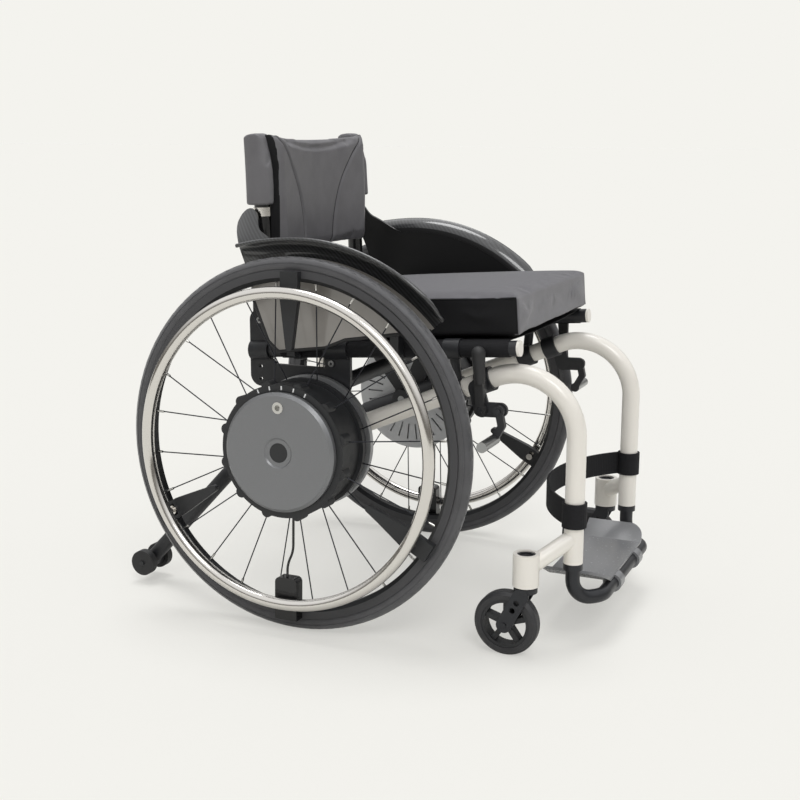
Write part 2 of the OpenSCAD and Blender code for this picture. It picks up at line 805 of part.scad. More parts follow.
// Height, inset from the edge and share of the drawn-in sides of each ring
cushion_rings = [
    [0, cushion_edge, 0], [cushion_edge, 0, 0.2], [cushion_t / 2, 0, 1],
    [cushion_t - cushion_edge, 0, 0.2], [cushion_t, cushion_edge, 0],
    [cushion_t + cushion_crown * 0.4, 22, 0], [cushion_t + cushion_crown * 0.75, 60, 0],
    [cushion_t + cushion_crown * 0.95, 115, 0]
];
function cushion_ring(z, inset, pull) = let (a = cushion_depth / 2, b = cushion_w / 2)
    [for (p = outline(a - inset, b - inset, max(cushion_corner - inset, 6), 6, 8))
        [p.x - sign(p.x) * cushion_pull * pull * (1 - pow(p.y / b, 2)),
         p.y - sign(p.y) * cushion_pull * pull * (1 - pow(p.x / a, 2)), z]];
module seat_cushion() color(cloth_dark) translate([axle_x, 0, 0]) on_seat()
    translate([cushion_front - cushion_depth / 2, 0, cushion_base])
        loft([for (r = cushion_rings) cushion_ring(r[0], r[1], r[2])],
            [0, 0, 0], [0, 0, cushion_t + cushion_crown]);

// Side guards: a panel inside the wheel with a lip flared over the tyre
guard_front_a = 40;
guard_rear_a = 112;
guard_low = [
    [pivot_x + 7, pivot_z], [pivot_x + 32, rail_z + 15], [pivot_x + 50, rail_z - 1],
    [34, rail_z + 10], [69, rail_z + 25], [guard_r * cos(guard_front_a) - 10, rail_z + 52]
];
lip_r = lip_w - guard_t;
// Outline of the wing that rises behind the cane, from the top edge round to the rear edge
wing_end_a = 106;
guard_top = axle_z + guard_r;
guard_wing = [for (p = [
    [1, 5], [-2, 21], [-8, 33], [-17, 39], [-27, 37], [-35, 28], [-39, 14], [-38, -1], [-33, -17],
    [-25, -35], [-13, -61]
]) [pivot_x + p.x, guard_top + p.y]];
module side_guards() color("#26272a") both_sides() {
    upright(guard_half, guard_t) polygon(concat(
        guard_low,
        [for (a = [guard_front_a:3:wing_end_a])
            [guard_r * cos(a), axle_z + guard_r * sin(a)]],
        guard_wing
    ));
    translate([0, -guard_half, axle_z]) rotate([90, 0, 0]) rotate(guard_front_a)
        rotate_extrude(angle = guard_rear_a - guard_front_a, $fn = 120)
            difference() {
                translate([guard_r - lip_r, 0]) square([lip_r + 1, lip_w]);
                translate([guard_r - lip_r - 1, lip_w]) circle(r = lip_r);
            }
}

// Backrest

cane_face = cane_half + cane_d / 2 + free_gap;
module back_brackets() color(black_metal) both_sides() {
    upright(cane_face, plate_in - cane_face)
        link([pivot_x, plate_top_z - 30], [pivot_x, pivot_z], 34);
    upright(cane_half - cane_d / 2, cane_face - cane_half + cane_d / 2 + 1)
        translate([pivot_x, pivot_z]) circle(r = pin_r);
}

module along_cane() {
    translate([pivot_x, -cane_half, pivot_z]) rotate([0, -cane_lean, 0]) children();
}
cane_len = (back_top - pivot_z) / cos(cane_lean) - 6;
bar_up = 92;
// The rigidiser bar is bowed to the rear, clear of the upholstery
bow_d = 14;
bow_sag = back_sag + 10;
bow_r = (cane_half * cane_half + bow_sag * bow_sag) / (2 * bow_sag);
bow_half_a = asin(cane_half / bow_r);
sleeve_up = 144;
sleeve_low = pivot_z + sleeve_up;
clamp_up = sleeve_low - pivot_z - 16;
module back_frame() color(black_metal) translate([axle_x, 0, 0]) {
    difference() {
        union() {
            for (side = [0, 1]) mirror([0, side, 0]) {
                along_cane() cylinder(d = cane_d, h = cane_len);
                upright(cane_half - cane_d / 2, cane_d)
                    translate([pivot_x, pivot_z]) circle(r = 14);
                along_cane() translate([0, 0, clamp_up]) cylinder(d = cane_d + 4, h = 14);
            }
            translate([pivot_x, 0, pivot_z]) rotate([0, -cane_lean, 0])
                translate([bow_r - bow_sag, 0, bar_up]) rotate(180 - bow_half_a)
                    rotate_extrude(angle = 2 * bow_half_a, $fn = 96)
                        translate([bow_r, 0]) circle(d = bow_d);
        }
        for (side = [0, 1]) mirror([0, side, 0])
            upright(cane_half - cane_d, 2 * cane_d)
                translate([pivot_x, pivot_z]) circle(r = pin_r + run_gap);
    }
}

pad_half = cane_half + cane_d / 2;
sag_half = cane_half - cane_d / 2 - 4;
sleeve_t = 2.6;
back_rings = [
    [0, 88, 0], [0, 60, 0], [0, 30, 0], [0, 6, 0], [2, 1, 0], [back_t / 2, 0, 1],
    [back_t - 2, 1, 0], [back_t, 6, 0], [back_t + 2, 26, 0], [back_t + 3.5, 60, 0],
    [back_t + 4, 88, 0]
];
function back_ring(t, inset, pull) = let (b = pad_half, h = (back_top - back_bottom) / 2)
    [for (p = outline(b - inset, h - inset, max(24 - inset, 6), 5, 10))
        let (y = p.x, z = p.y - sign(p.y) * 3 * pull * (1 - pow(p.x / b, 2)))
        [t - back_sag * max(0, 1 - pow(y / sag_half, 2)), y, h + z]];
module back_upholstery() color(cloth_dark) translate([axle_x, 0, 0]) {
    translate([pivot_x, 0, pivot_z]) rotate([0, -cane_lean, 0])
        translate([cane_d / 2 + sleeve_t + 2 * fit_gap, 0, back_bottom - pivot_z])
            loft([for (r = back_rings) back_ring(r[0], r[1], r[2])],
                [-back_sag, 0, (back_top - back_bottom) / 2],
                [back_t + 4 - back_sag, 0, (back_top - back_bottom) / 2]);
    for (side = [0, 1]) mirror([0, side, 0])
        along_cane() translate([0, 0, sleeve_low - pivot_z]) difference() {
            cylinder(r = cane_d / 2 + fit_gap + sleeve_t, h = back_top - sleeve_low - 2);
            translate([0, 0, -1])
                cylinder(r = cane_d / 2 + fit_gap, h = cane_len - sleeve_low + pivot_z + 1 + fit_gap);
        }
}

// Brakes

function tube_at(x) = tube_z + tan(frame_slope) * x;
brake_pin_r = 4;
module brake_mounts() color(black_metal) both_sides() difference() {
    union() {
        along_tube(clamp_x) cylinder(d = tube_d + 2 * socket_wall, h = 24, center = true);
        upright(frame_half, brake_in - frame_half - brake_plate_t + 1)
            translate([clamp_x - 8, tube_at(clamp_x) - 14]) square([16, 20]);
        upright(brake_in - brake_plate_t, brake_plate_t) {
            link([clamp_x, tube_at(clamp_x) - 4], [brake_x, brake_z], 24);
            link([brake_x, brake_z], [arm_x, arm_z], 22);
        }
        upright(brake_in - 1, 13) {
            translate([brake_x, brake_z]) circle(r = brake_pin_r);
            translate([arm_x, arm_z]) circle(r = brake_pin_r);
        }
    }
    along_tube(clamp_x) cylinder(d = tube_d + 2 * fit_gap, h = 80, center = true);
}

lever_t = 9;
module brake_lever() color(rubber_black) difference() {
    union() {
        upright(brake_in + free_gap, lever_t) {
            translate([brake_x, brake_z]) circle(r = 9);
            link([brake_x, brake_z], [brake_x - 6, brake_z + lever_len - 10], 13);
        }
        translate([brake_x - 2, -(brake_in + free_gap + lever_t / 2), brake_z + 40])
            rotate([0, -3.5, 0]) {
                cylinder(d1 = 16, d2 = 21, h = lever_len - 50);
                translate([0, 0, lever_len - 50]) sphere(d = 21);
            }
    }
    upright(brake_in - 1, 3 * lever_t)
        translate([brake_x, brake_z]) circle(r = brake_pin_r + run_gap);
    upright(brake_in - 20, 20 + free_gap) translate([brake_x - 40, brake_z - 40]) square([80, 200]);
}

module brake_arm() color(steel) difference() {
    union() {
        upright(brake_in + free_gap, lever_t) {
            translate([arm_x, arm_z]) circle(r = 8.5);
            link([arm_x, arm_z], [arm_x + 5, (arm_z + roller_z) / 2], 11);
            link([arm_x + 5, (arm_z + roller_z) / 2], [roller_x, roller_z], 11);
        }
        upright(brake_in + free_gap, half_track + tyre_s / 2 - brake_in)
            translate([roller_x, roller_z]) circle(r = roller_r);
    }
    upright(brake_in - 1, 3 * lever_t)
        translate([arm_x, arm_z]) circle(r = brake_pin_r + run_gap);
}

// Casters

fork_t = 4;
fork_gap = 1.5;
fork_hole_r = 4.5;
caster_pin_r = 4;
caster_z = caster_d / 2;
module at_caster() {
    translate([caster_x, -caster_half, 0]) children();
}
fork_in = caster_w / 2 + fork_gap;
fork_crown_z = barrel_z - 10;
module caster_fork() color(graphite) at_caster() {
    difference() {
        union() {
            translate([0, 0, fork_crown_z])
                cylinder(d = barrel_d - 4, h = 8);
            for (side = [0, 1]) mirror([0, side, 0])
                upright(fork_in, fork_t)
                    link([-2, fork_crown_z - 2], [-caster_trail, caster_z], 24);
        }
        for (side = [0, 1], k = [0.25, 0.5]) mirror([0, side, 0])
            upright(fork_in - 1, fork_t + 2)
                translate([-2 - (caster_trail - 2) * k,
                    fork_crown_z - 2 - (fork_crown_z - 2 - caster_z) * k])
                    circle(r = fork_hole_r);
        translate([-barrel_d, -barrel_d, barrel_z - 2]) cube([2 * barrel_d, 2 * barrel_d, barrel_d]);
    }
    translate([0, 0, fork_crown_z]) cylinder(d = stem_d, h = barrel_z + barrel_h - cap_sink - fork_crown_z);
    translate([-caster_trail, fork_in + fork_t + 2, caster_z]) rotate([90, 0, 0])
        cylinder(r = caster_pin_r, h = 2 * (fork_in + fork_t + 2));
}

caster_spokes = 5;
core_r_of = caster_d / 2 - 12;
module caster_wheel() color(black_metal) at_caster()
    translate([-caster_trail, 0, caster_z]) rotate([90, 0, 0]) difference() {
        union() {
            translate([0, 0, -caster_w / 2 + 1]) difference() {
                cylinder(r = core_r_of, h = caster_w - 2);
                translate([0, 0, -1]) cylinder(r = core_r_of - 5, h = caster_w);
            }
            for (k = [0:caster_spokes - 1]) rotate(90 + 360 / caster_spokes * k)
                translate([8, -4, -caster_w / 2 + 4]) cube([core_r_of - 10, 8, caster_w - 8]);
            translate([0, 0, -caster_w / 2]) cylinder(r = 11, h = caster_w);
        }
        translate([0, 0, -caster_w]) cylinder(r = caster_pin_r + run_gap, h = 2 * caster_w);
    }

module caster_tyre() color(graphite) at_caster()
    translate([-caster_trail, 0, caster_z]) rotate([90, 0, 0])
        rotate_extrude($fn = 72) difference() {
            translate([core_r_of + fit_gap, -caster_w / 2])
                square([caster_d / 2 - core_r_of - fit_gap, caster_w]);
            for (side = [-1, 1]) translate([caster_d / 2, side * caster_w / 2])
                rotate(45) square(7, center = true);
        }

// Footrest

foot_drop = leg_bottom + 30 - bar_z - foot_bend;
module footrest_tube() color(graphite) translate([axle_x, 0, 0]) {
    translate([leg_x, -frame_half, leg_bottom + 30]) rotate([180, 0, 0])
        pipe_run(foot_d, tube_wall, [
            [foot_drop, foot_bend, 90, -45],
            [foot_mid, foot_bend, 45, -90],
            [2 * (frame_half - foot_bend * sqrt(2) - foot_mid * sqrt(0.5)), foot_bend, 45, 0],
            [foot_mid, foot_bend, 90, 90],
            [foot_drop, 0, 0, 0]
        ]);
    for (side = [-1, 1]) translate([leg_x, side * frame_half, leg_bottom - 10])
        linear_extrude(10) difference() {
            circle(d = tube_d);
            circle(d = foot_d + 2 * fit_gap);
        }
}

// Dished footplate, its two clamps turn on the cross bar
clamp_y = 62;
clamp_w = 24;
plate_low = foot_d / 2 + 1.5;
wing_start = plate_w / 2 - 40;
wing_rise = 20;
plate_corner = 34;
module footplate() color("#5b5d60") translate([axle_x + bar_x, 0, bar_z]) {
    intersection() {
        translate([4 - plate_d, 0, 0]) rotate([90, 0, 90]) linear_extrude(plate_d) polygon([
            [-plate_w / 2, plate_low + wing_rise], [-wing_start, plate_low], [wing_start, plate_low],
            [plate_w / 2, plate_low + wing_rise], [plate_w / 2 - 2, plate_low + wing_rise + plate_t],
            [wing_start - 2, plate_low + plate_t], [-wing_start + 2, plate_low + plate_t],
            [-plate_w / 2 + 2, plate_low + wing_rise + plate_t]
        ]);
        linear_extrude(4 * wing_rise) {
            translate([4 - plate_d, -plate_w / 2]) square([plate_d - plate_corner, plate_w]);
            translate([4 - plate_d, -plate_w / 2 + plate_corner])
                square([plate_d, plate_w - 2 * plate_corner]);
            for (side = [-1, 1])
                translate([4 - plate_corner, side * (plate_w / 2 - plate_corner)])
                    circle(r = plate_corner);
        }
    }
    for (side = [-1, 1]) translate([0, side * clamp_y, 0]) difference() {
        union() {
            rotate([90, 0, 0]) cylinder(r = foot_d / 2 + collar_wall, h = clamp_w, center = true);
            translate([-14, -clamp_w / 2, 0]) cube([14, clamp_w, plate_low + 1]);
        }
        rotate([90, 0, 0]) cylinder(r = foot_d / 2 + run_gap, h = 2 * clamp_w, center = true);
    }
}

strap_hem = 1;
strap_end = frame_half - 4;
strap_r = (strap_end * strap_end + strap_sag * strap_sag) / (2 * strap_sag);
strap_half_a = asin(strap_end / strap_r);
module calf_strap() color(rubber_black) translate([axle_x + leg_x, 0, strap_z - strap_h / 2]) difference() {
    union() {
        for (side = [-1, 1]) translate([0, side * frame_half, 0])
            cylinder(d = tube_d + 2 * fit_gap + 2 * strap_t, h = strap_h);
        translate([strap_r - strap_sag - tube_d / 2 + 1, 0, 0]) rotate(180 - strap_half_a)
            rotate_extrude(angle = 2 * strap_half_a, $fn = 96)
                translate([strap_r, strap_hem]) square([strap_t, strap_h - 2 * strap_hem]);
    }
    for (side = [-1, 1]) translate([0, side * frame_half, -1])
        cylinder(d = tube_d + 2 * fit_gap, h = strap_h + 2);
}

// Anti-tipper in the right housing

tip_half = 16;
tip_wheel_w = 14;
tip_pin_r = 4;
tipper_first = (-tipper_turn_x - tipper_start - 2) / cos(frame_slope)
    - tipper_bend_r * tan(tipper_turn / 2);
tipper_last = norm([-tipper_back - tipper_turn_x, tipper_z - tube_at(tipper_turn_x)])
    - tipper_bend_r * tan(tipper_turn / 2);
module antitip_tube() color(black_metal) translate([axle_x, 0, 0]) {
    along_tube(-tipper_start - 2) rotate([180, 0, 0])
        pipe_run(tipper_d, tube_wall, [
            [tipper_first, tipper_bend_r, tipper_turn, 0],
            [tipper_last, 0, 0, 0]
        ]);
    translate([-tipper_back, -frame_half + tip_half, tipper_z]) rotate([90, 0, 0])
        cylinder(d = tipper_d + 4, h = 2 * tip_half);
    translate([-tipper_back, -frame_half + tip_half + tip_wheel_w + 3, tipper_z]) rotate([90, 0, 0])
        cylinder(r = tip_pin_r, h = 2 * (tip_half + tip_wheel_w + 3));
}

module antitip_wheels() color(rubber_black) translate([axle_x - tipper_back, -frame_half, tipper_z])
    for (side = [-1, 1]) translate([0, side * (tip_half + 0.5 + tip_wheel_w / 2), 0])
        rotate([90, 0, 0]) difference() {
            cylinder(r = tipper_wheel_r, h = tip_wheel_w, center = true);
            cylinder(r = tip_pin_r + run_gap, h = 2 * tip_wheel_w, center = true);
        }

// Nodes of the two drive wheels
module wheel_node(name, side) {
    color(rubber_black) on_side(side) at_wheel() tyre();
    color(black_metal) on_side(side) at_wheel() rim();
    color(graphite) on_side(side) at_wheel() spokes();
    color(black_metal) on_side(side) at_wheel() hub_shell();
    color(graphite) on_side(side) at_wheel() hub_cover();
    color(steel) on_side(side) at_wheel() hub_back_cover();
    color(steel) on_side(side) at_wheel() charge_panel();
    color(rubber_black) on_side(side) at_wheel() release_button();
    color("#b5773c") on_side(side) at_wheel() stator();
    color("#3f6f9f") on_side(side) at_wheel() battery_pack();
    color(steel) on_side(side) at_wheel() handrim();
    color(rubber_black) on_side(side) at_wheel() rim_lugs();
    color(rubber_black) on_side(side) at_wheel() wheel_sensor();
}
wheel_node("_right", -1);
wheel_node("_left", 1);

motor_axles();
bearings();
magnet_rotors();
side_frames();
cross_tube();
axle_housings();
side_plates();
seat_rails();
rail_brackets();
rail_caps();
frame_bolts();
caster_caps();
seat_sling();
seat_cushion();
side_guards();
back_brackets();
back_frame();
back_upholstery();
brake_mounts();
on_side(-1) brake_lever();  // brake_lever_right
on_side(-1) brake_arm();  // brake_arm_right
on_side(1) brake_lever();  // brake_lever_left
on_side(1) brake_arm();  // brake_arm_left
on_side(-1) caster_fork();  // caster_fork_right
on_side(-1) caster_wheel();  // caster_wheel_right
on_side(-1) caster_tyre();  // caster_tyre_right
on_side(1) caster_fork();  // caster_fork_left
on_side(1) caster_wheel();  // caster_wheel_left
on_side(1) caster_tyre();  // caster_tyre_left
footrest_tube();
footplate();
calf_strap();
antitip_tube();
antitip_wheels();
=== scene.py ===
# Rigid-frame wheelchair with power-assist hub wheels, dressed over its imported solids.
# Metres; X forward, Y to the user's left, Z up, floor at Z = 0.
import math

import bpy
from mathutils import Matrix, Vector


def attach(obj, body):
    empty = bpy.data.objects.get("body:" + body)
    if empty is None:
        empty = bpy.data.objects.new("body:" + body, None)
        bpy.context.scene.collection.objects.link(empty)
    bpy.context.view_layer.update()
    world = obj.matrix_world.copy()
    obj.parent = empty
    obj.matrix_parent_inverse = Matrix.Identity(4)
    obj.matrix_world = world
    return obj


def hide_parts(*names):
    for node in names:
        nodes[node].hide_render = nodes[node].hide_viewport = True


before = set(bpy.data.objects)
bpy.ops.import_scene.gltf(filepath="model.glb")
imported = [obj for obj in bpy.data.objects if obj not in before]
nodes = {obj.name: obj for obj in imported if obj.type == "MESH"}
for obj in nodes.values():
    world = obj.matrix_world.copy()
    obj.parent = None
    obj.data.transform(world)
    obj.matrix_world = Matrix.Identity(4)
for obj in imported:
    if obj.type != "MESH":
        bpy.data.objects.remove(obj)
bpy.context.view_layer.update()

# The camera stands at the chair's right front, a little above the seat, about
# 2.2 m away with a short telephoto, as the photograph was taken.
view_azimuth = math.radians(23.5)
view_elevation = math.radians(11.87)
view_roll = math.radians(0.14)
view_distance = 2.2008
view_target = Vector((0.0054, 0.0, 0.3239))
toward_chair = -Vector((
    math.sin(view_azimuth) * math.cos(view_elevation),
    -math.cos(view_azimuth) * math.cos(view_elevation),
    math.sin(view_elevation),
))
level_right = toward_chair.cross(Vector((0, 0, 1))).normalized()
level_up = level_right.cross(toward_chair)
picture_right = level_right * math.cos(view_roll) + level_up * math.sin(view_roll)
picture_up = level_up * math.cos(view_roll) - level_right * math.sin(view_roll)
camera_data = bpy.data.cameras.new("studio_camera")
camera_data.lens = 57.57
camera_data.sensor_width = 36.0
camera = bpy.data.objects.new("studio_camera", camera_data)
bpy.context.scene.collection.objects.link(camera)
camera_turn = Matrix((picture_right, picture_up, -toward_chair)).transposed().to_4x4()
camera.matrix_world = Matrix.Translation(view_target - toward_chair * view_distance) @ camera_turn
bpy.context.scene.camera = camera
bpy.context.scene.view_settings.view_transform = "Standard"


# The studio is a seamless pale floor under an even white tent, with one broad soft light
# at the front right and one from above. A grey band round the tent shows only in polish.
def linear_colour(code):
    channels = [int(code[i:i + 2], 16) / 255 for i in (1, 3, 5)]
    return [c / 12.92 if c <= 0.04045 else ((c + 0.055) / 1.055) ** 2.4 for c in channels] + [1.0]


def add_node(tree, kind, values=None, links=None, **settings):
    node = tree.nodes.new(kind)
    for name, value in settings.items():
        setattr(node, name, value)
    for socket, value in (values or {}).items():
        node.inputs[socket].default_value = value
    for socket, source in (links or {}).items():
        tree.links.new(source, node.inputs[socket])
    return node


def start_material(name, code, roughness, metallic=0.0):
    material = bpy.data.materials.new(name)
    material.use_nodes = True
    surface = material.node_tree.nodes["Principled BSDF"]
    surface.inputs["Base Color"].default_value = linear_colour(code)
    surface.inputs["Roughness"].default_value = roughness
    surface.inputs["Metallic"].default_value = metallic
    where = add_node(material.node_tree, "ShaderNodeTexCoord").outputs["Object"]
    return material, material.node_tree, surface, where


# A lit sweep: half of what the camera sees of it glows by itself, so that the shadows stay light
paper, tree, surface, where = start_material("lit_studio_floor", "#f4f3ee", 0.9)
surface.inputs["Specular IOR Level"].default_value = 0.0
paths = add_node(tree, "ShaderNodeLightPath")
glow = add_node(tree, "ShaderNodeEmission", {"Color": linear_colour("#f4f3ee"), "Strength": 1.0})
share = add_node(tree, "ShaderNodeMath", {1: 0.5},
                 {0: paths.outputs["Is Camera Ray"]}, operation="MULTIPLY")
lit = add_node(tree, "ShaderNodeMixShader", {}, {
    0: share.outputs[0], 1: surface.outputs["BSDF"], 2: glow.outputs["Emission"]})
tree.links.new(lit.outputs[0], tree.nodes["Material Output"].inputs["Surface"])
bpy.ops.object.select_all(action="DESELECT")
bpy.ops.mesh.primitive_plane_add(size=120.0, location=(0, 0, -0.0005))
floor = bpy.context.object
floor.name = "studio_floor"
floor.data.materials.append(paper)

world = bpy.data.worlds.new("white_tent")
world.use_nodes = True
bpy.context.scene.world = world
tree = world.node_tree
even = tree.nodes["Background"]
even.inputs["Color"].default_value = linear_colour("#ffffff")
even.inputs["Strength"].default_value = 0.40
skyward = add_node(tree, "ShaderNodeTexCoord")
height = add_node(tree, "ShaderNodeSeparateXYZ", {}, {"Vector": skyward.outputs["Generated"]})
band = add_node(tree, "ShaderNodeValToRGB", {}, {"Fac": height.outputs["Z"]})
band.color_ramp.elements[0].position = 0.12
band.color_ramp.elements[0].color = linear_colour("#77746f")
band.color_ramp.elements[1].position = 0.5
band.color_ramp.elements[1].color = linear_colour("#ffffff")
mirror_side = add_node(tree, "ShaderNodeBackground", {"Strength": 1.0}, {"Color": band.outputs["Color"]})
backdrop = add_node(tree, "ShaderNodeBackground", {"Color": linear_colour("#f4f3ee"), "Strength": 1.0})
paths = add_node(tree, "ShaderNodeLightPath")
polish_mix = add_node(tree, "ShaderNodeMixShader", {}, {
    0: paths.outputs["Is Glossy Ray"], 1: even.outputs[0], 2: mirror_side.outputs[0]})
camera_mix = add_node(tree, "ShaderNodeMixShader", {}, {
    0: paths.outputs["Is Camera Ray"], 1: polish_mix.outputs[0], 2: backdrop.outputs[0]})
tree.links.new(camera_mix.outputs[0], tree.nodes["World Output"].inputs["Surface"])

for lamp_name, place, spread, power in (
        ("soft_key_light", (1.2, -1.7, 2.2), 24.0, 1.0),
        ("soft_top_light", (-0.3, 0.4, 3.0), 28.0, 1.17)):
    lamp_data = bpy.data.lights.new(lamp_name, "SUN")
    lamp_data.angle = math.radians(spread)
    lamp_data.energy = power
    lamp = bpy.data.objects.new(lamp_name, lamp_data)
    bpy.context.scene.collection.objects.link(lamp)
    lamp.location = place
    lamp.rotation_euler = (-Vector(place)).to_track_quat("-Z", "Y").to_euler()


# Drive tyres: moulded black rubber on a 24 inch rim, a round section whose crown is cut
# with shallow slanted sipes. They are seated in the rim by their beads.
axle_x = -0.058121
half_track = 0.262
axle_z = 0.294828
camber = math.radians(2.0)
tyre_ring = 0.2825
tyre_section = 0.0124
wheel_up = Vector((0, math.sin(camber), math.cos(camber)))
wheel_out = Vector((0, -math.cos(camber), math.sin(camber)))
wheel_place = Matrix((
    (1, 0, 0, axle_x),
    (0, wheel_up.y, wheel_out.y, -half_track),
    (0, wheel_up.z, wheel_out.z, axle_z),
    (0, 0, 0, 1),
))


def per_mm(size):
    return 1000.0 / size


def select_only(piece):
    bpy.ops.object.select_all(action="DESELECT")
    piece.select_set(True)
    bpy.context.view_layer.objects.active = piece


def pick_faces(piece, wanted):
    select_only(piece)
    bpy.ops.object.mode_set(mode="EDIT")
    bpy.context.tool_settings.mesh_select_mode = (False, False, True)
    bpy.ops.mesh.select_all(action="DESELECT")
    bpy.ops.object.mode_set(mode="OBJECT")
    for face in piece.data.polygons:
        face.select = wanted(face)
    bpy.ops.object.mode_set(mode="EDIT")


def settle(piece, body, slot, *replaced):
    select_only(piece)
    bpy.ops.object.shade_smooth_by_angle(angle=math.radians(40))
    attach(piece, body)
    if replaced:
        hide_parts(*replaced)
    return piece


def mirrored(piece, name):
    twin = piece.copy()
    twin.data = piece.data.copy()
    twin.name = name
    twin.parent = None
    bpy.context.scene.collection.objects.link(twin)
    twin.data.transform(Matrix.Scale(-1, 4, Vector((0, 1, 0))))
    twin.data.flip_normals()
    return twin


# Vulcanised rubber: dull charcoal mottled at random, its grey lifted above the rubber's own to stand in
# for the top light on the crown (painted sheen), with a fine grain from the mould
tyre_rubber, tree, surface, where = start_material("vulcanised_rubber", "#484849", 0.5)
surface.inputs["Sheen Weight"].default_value = 0.4
mottle_with_painted_sheen = add_node(tree, "ShaderNodeTexNoise", {"Scale": per_mm(22), "Detail": 3.0}, {"Vector": where})
# Random mottling, with both colours set lighter than black rubber as painted sheen
shade = add_node(tree, "ShaderNodeValToRGB", {}, {"Fac": mottle_with_painted_sheen.outputs["Fac"]})
shade.color_ramp.elements[0].color = linear_colour("#404042")
shade.color_ramp.elements[1].color = linear_colour("#545457")
tree.links.new(shade.outputs["Color"], surface.inputs["Base Color"])
grain = add_node(tree, "ShaderNodeTexNoise", {"Scale": per_mm(0.9), "Detail": 2.0}, {"Vector": where})
relief = add_node(tree, "ShaderNodeBump", {"Strength": 0.25, "Distance": 0.0003},
                  {"Height": grain.outputs["Fac"]})
tree.links.new(relief.outputs["Normal"], surface.inputs["Normal"])

bpy.ops.object.select_all(action="DESELECT")
sipe_count, sipe_depth, sipe_slant = 300, 0.0005, 3.0
sipe_from, sipe_to = 0.12, 0.75
line_from, line_to, line_depth = 1.18, 1.34, 0.0008
bpy.ops.mesh.primitive_torus_add(major_segments=sipe_count, minor_segments=40,
                                 major_radius=tyre_ring, minor_radius=tyre_section)
tyre = bpy.context.object
tyre.name = "tyre_tread_right"


def crown_turn(face):
    return abs(math.atan2(face.center.z, math.hypot(face.center.x, face.center.y) - tyre_ring))


def on_sipe(face):
    around = math.atan2(face.center.y, face.center.x) / (2 * math.pi) * sipe_count
    slant = int(math.floor(around + crown_turn(face) * sipe_slant))
    return sipe_from < crown_turn(face) < sipe_to and slant % 3 == 0


def on_shoulder(face):
    return line_from < crown_turn(face) < line_to


for wanted, depth in ((on_sipe, sipe_depth), (on_shoulder, line_depth)):
    pick_faces(tyre, wanted)
    bpy.ops.mesh.extrude_region_shrink_fatten(TRANSFORM_OT_shrink_fatten={"value": -depth})
    bpy.ops.object.mode_set(mode="OBJECT")
tyre.data.transform(wheel_place)
tyre.data.materials.append(tyre_rubber)
settle(mirrored(tyre, "tyre_tread_left"), "wheel_left", "tyre_rubber", "tyre_left")
settle(tyre, "wheel_right", "tyre_rubber", "tyre_right")


# Rims and spokes: extruded alloy rims with blasted side walls, anodised black, laced with thin
# black steel spokes that hook into the hub flanges.
def dress(material, *names):
    for name in names:
        nodes[name].data.materials.clear()
        nodes[name].data.materials.append(material)


def both(*names):
    return [name + side for name in names for side in ("_right", "_left")]


black_anodised, tree, surface, where = start_material("black_anodised_alloy", "#1c1d1f", 0.36, 0.5)
haze = add_node(tree, "ShaderNodeTexNoise", {"Scale": per_mm(6), "Detail": 4.0}, {"Vector": where})
gloss = add_node(tree, "ShaderNodeMapRange", {"To Min": 0.28, "To Max": 0.46},
                 {"Value": haze.outputs["Fac"]})
tree.links.new(gloss.outputs["Result"], surface.inputs["Roughness"])
dress(black_anodised, *both("rim"))

# Blasted side walls: duller and greyer than the well, so that they read as one with the tyre
blasted_alloy, tree, surface, where = start_material("blasted_anodised_alloy", "#4a4a4c", 0.6, 0.2)
blast = add_node(tree, "ShaderNodeTexNoise", {"Scale": per_mm(0.8), "Detail": 2.0}, {"Vector": where})
relief = add_node(tree, "ShaderNodeBump", {"Strength": 0.2, "Distance": 0.0002},
                  {"Height": blast.outputs["Fac"]})
tree.links.new(relief.outputs["Normal"], surface.inputs["Normal"])
for name in both("rim"):
    nodes[name].data.materials.append(blasted_alloy)
    for face in nodes[name].data.polygons:
        face.material_index = 1 if abs(face.normal.y) > 0.8 else 0

# Oxidised spoke steel: nearly black, with a thin bright line where the light catches it
spoke_steel, tree, surface, where = start_material("black_oxide_spoke_steel", "#34353a", 0.34, 0.8)
drawn = add_node(tree, "ShaderNodeTexNoise", {"Scale": per_mm(3), "Detail": 2.0}, {"Vector": where})
gloss = add_node(tree, "ShaderNodeMapRange", {"To Min": 0.26, "To Max": 0.44},
                 {"Value": drawn.outputs["Fac"]})
tree.links.new(gloss.outputs["Result"], surface.inputs["Roughness"])
dress(spoke_steel, *both("spokes"))


# Spoke nipples: turned brass sleeves with bright nickel, screwed on the spoke ends at the rim.
# Two to each lobe of the hub, one from the outer flange and one from the inner.
def join_all(pieces, name):
    select_only(pieces[0])
    for piece in pieces:
        piece.select_set(True)
    bpy.ops.object.join()
    bpy.context.object.name = name
    return bpy.context.object


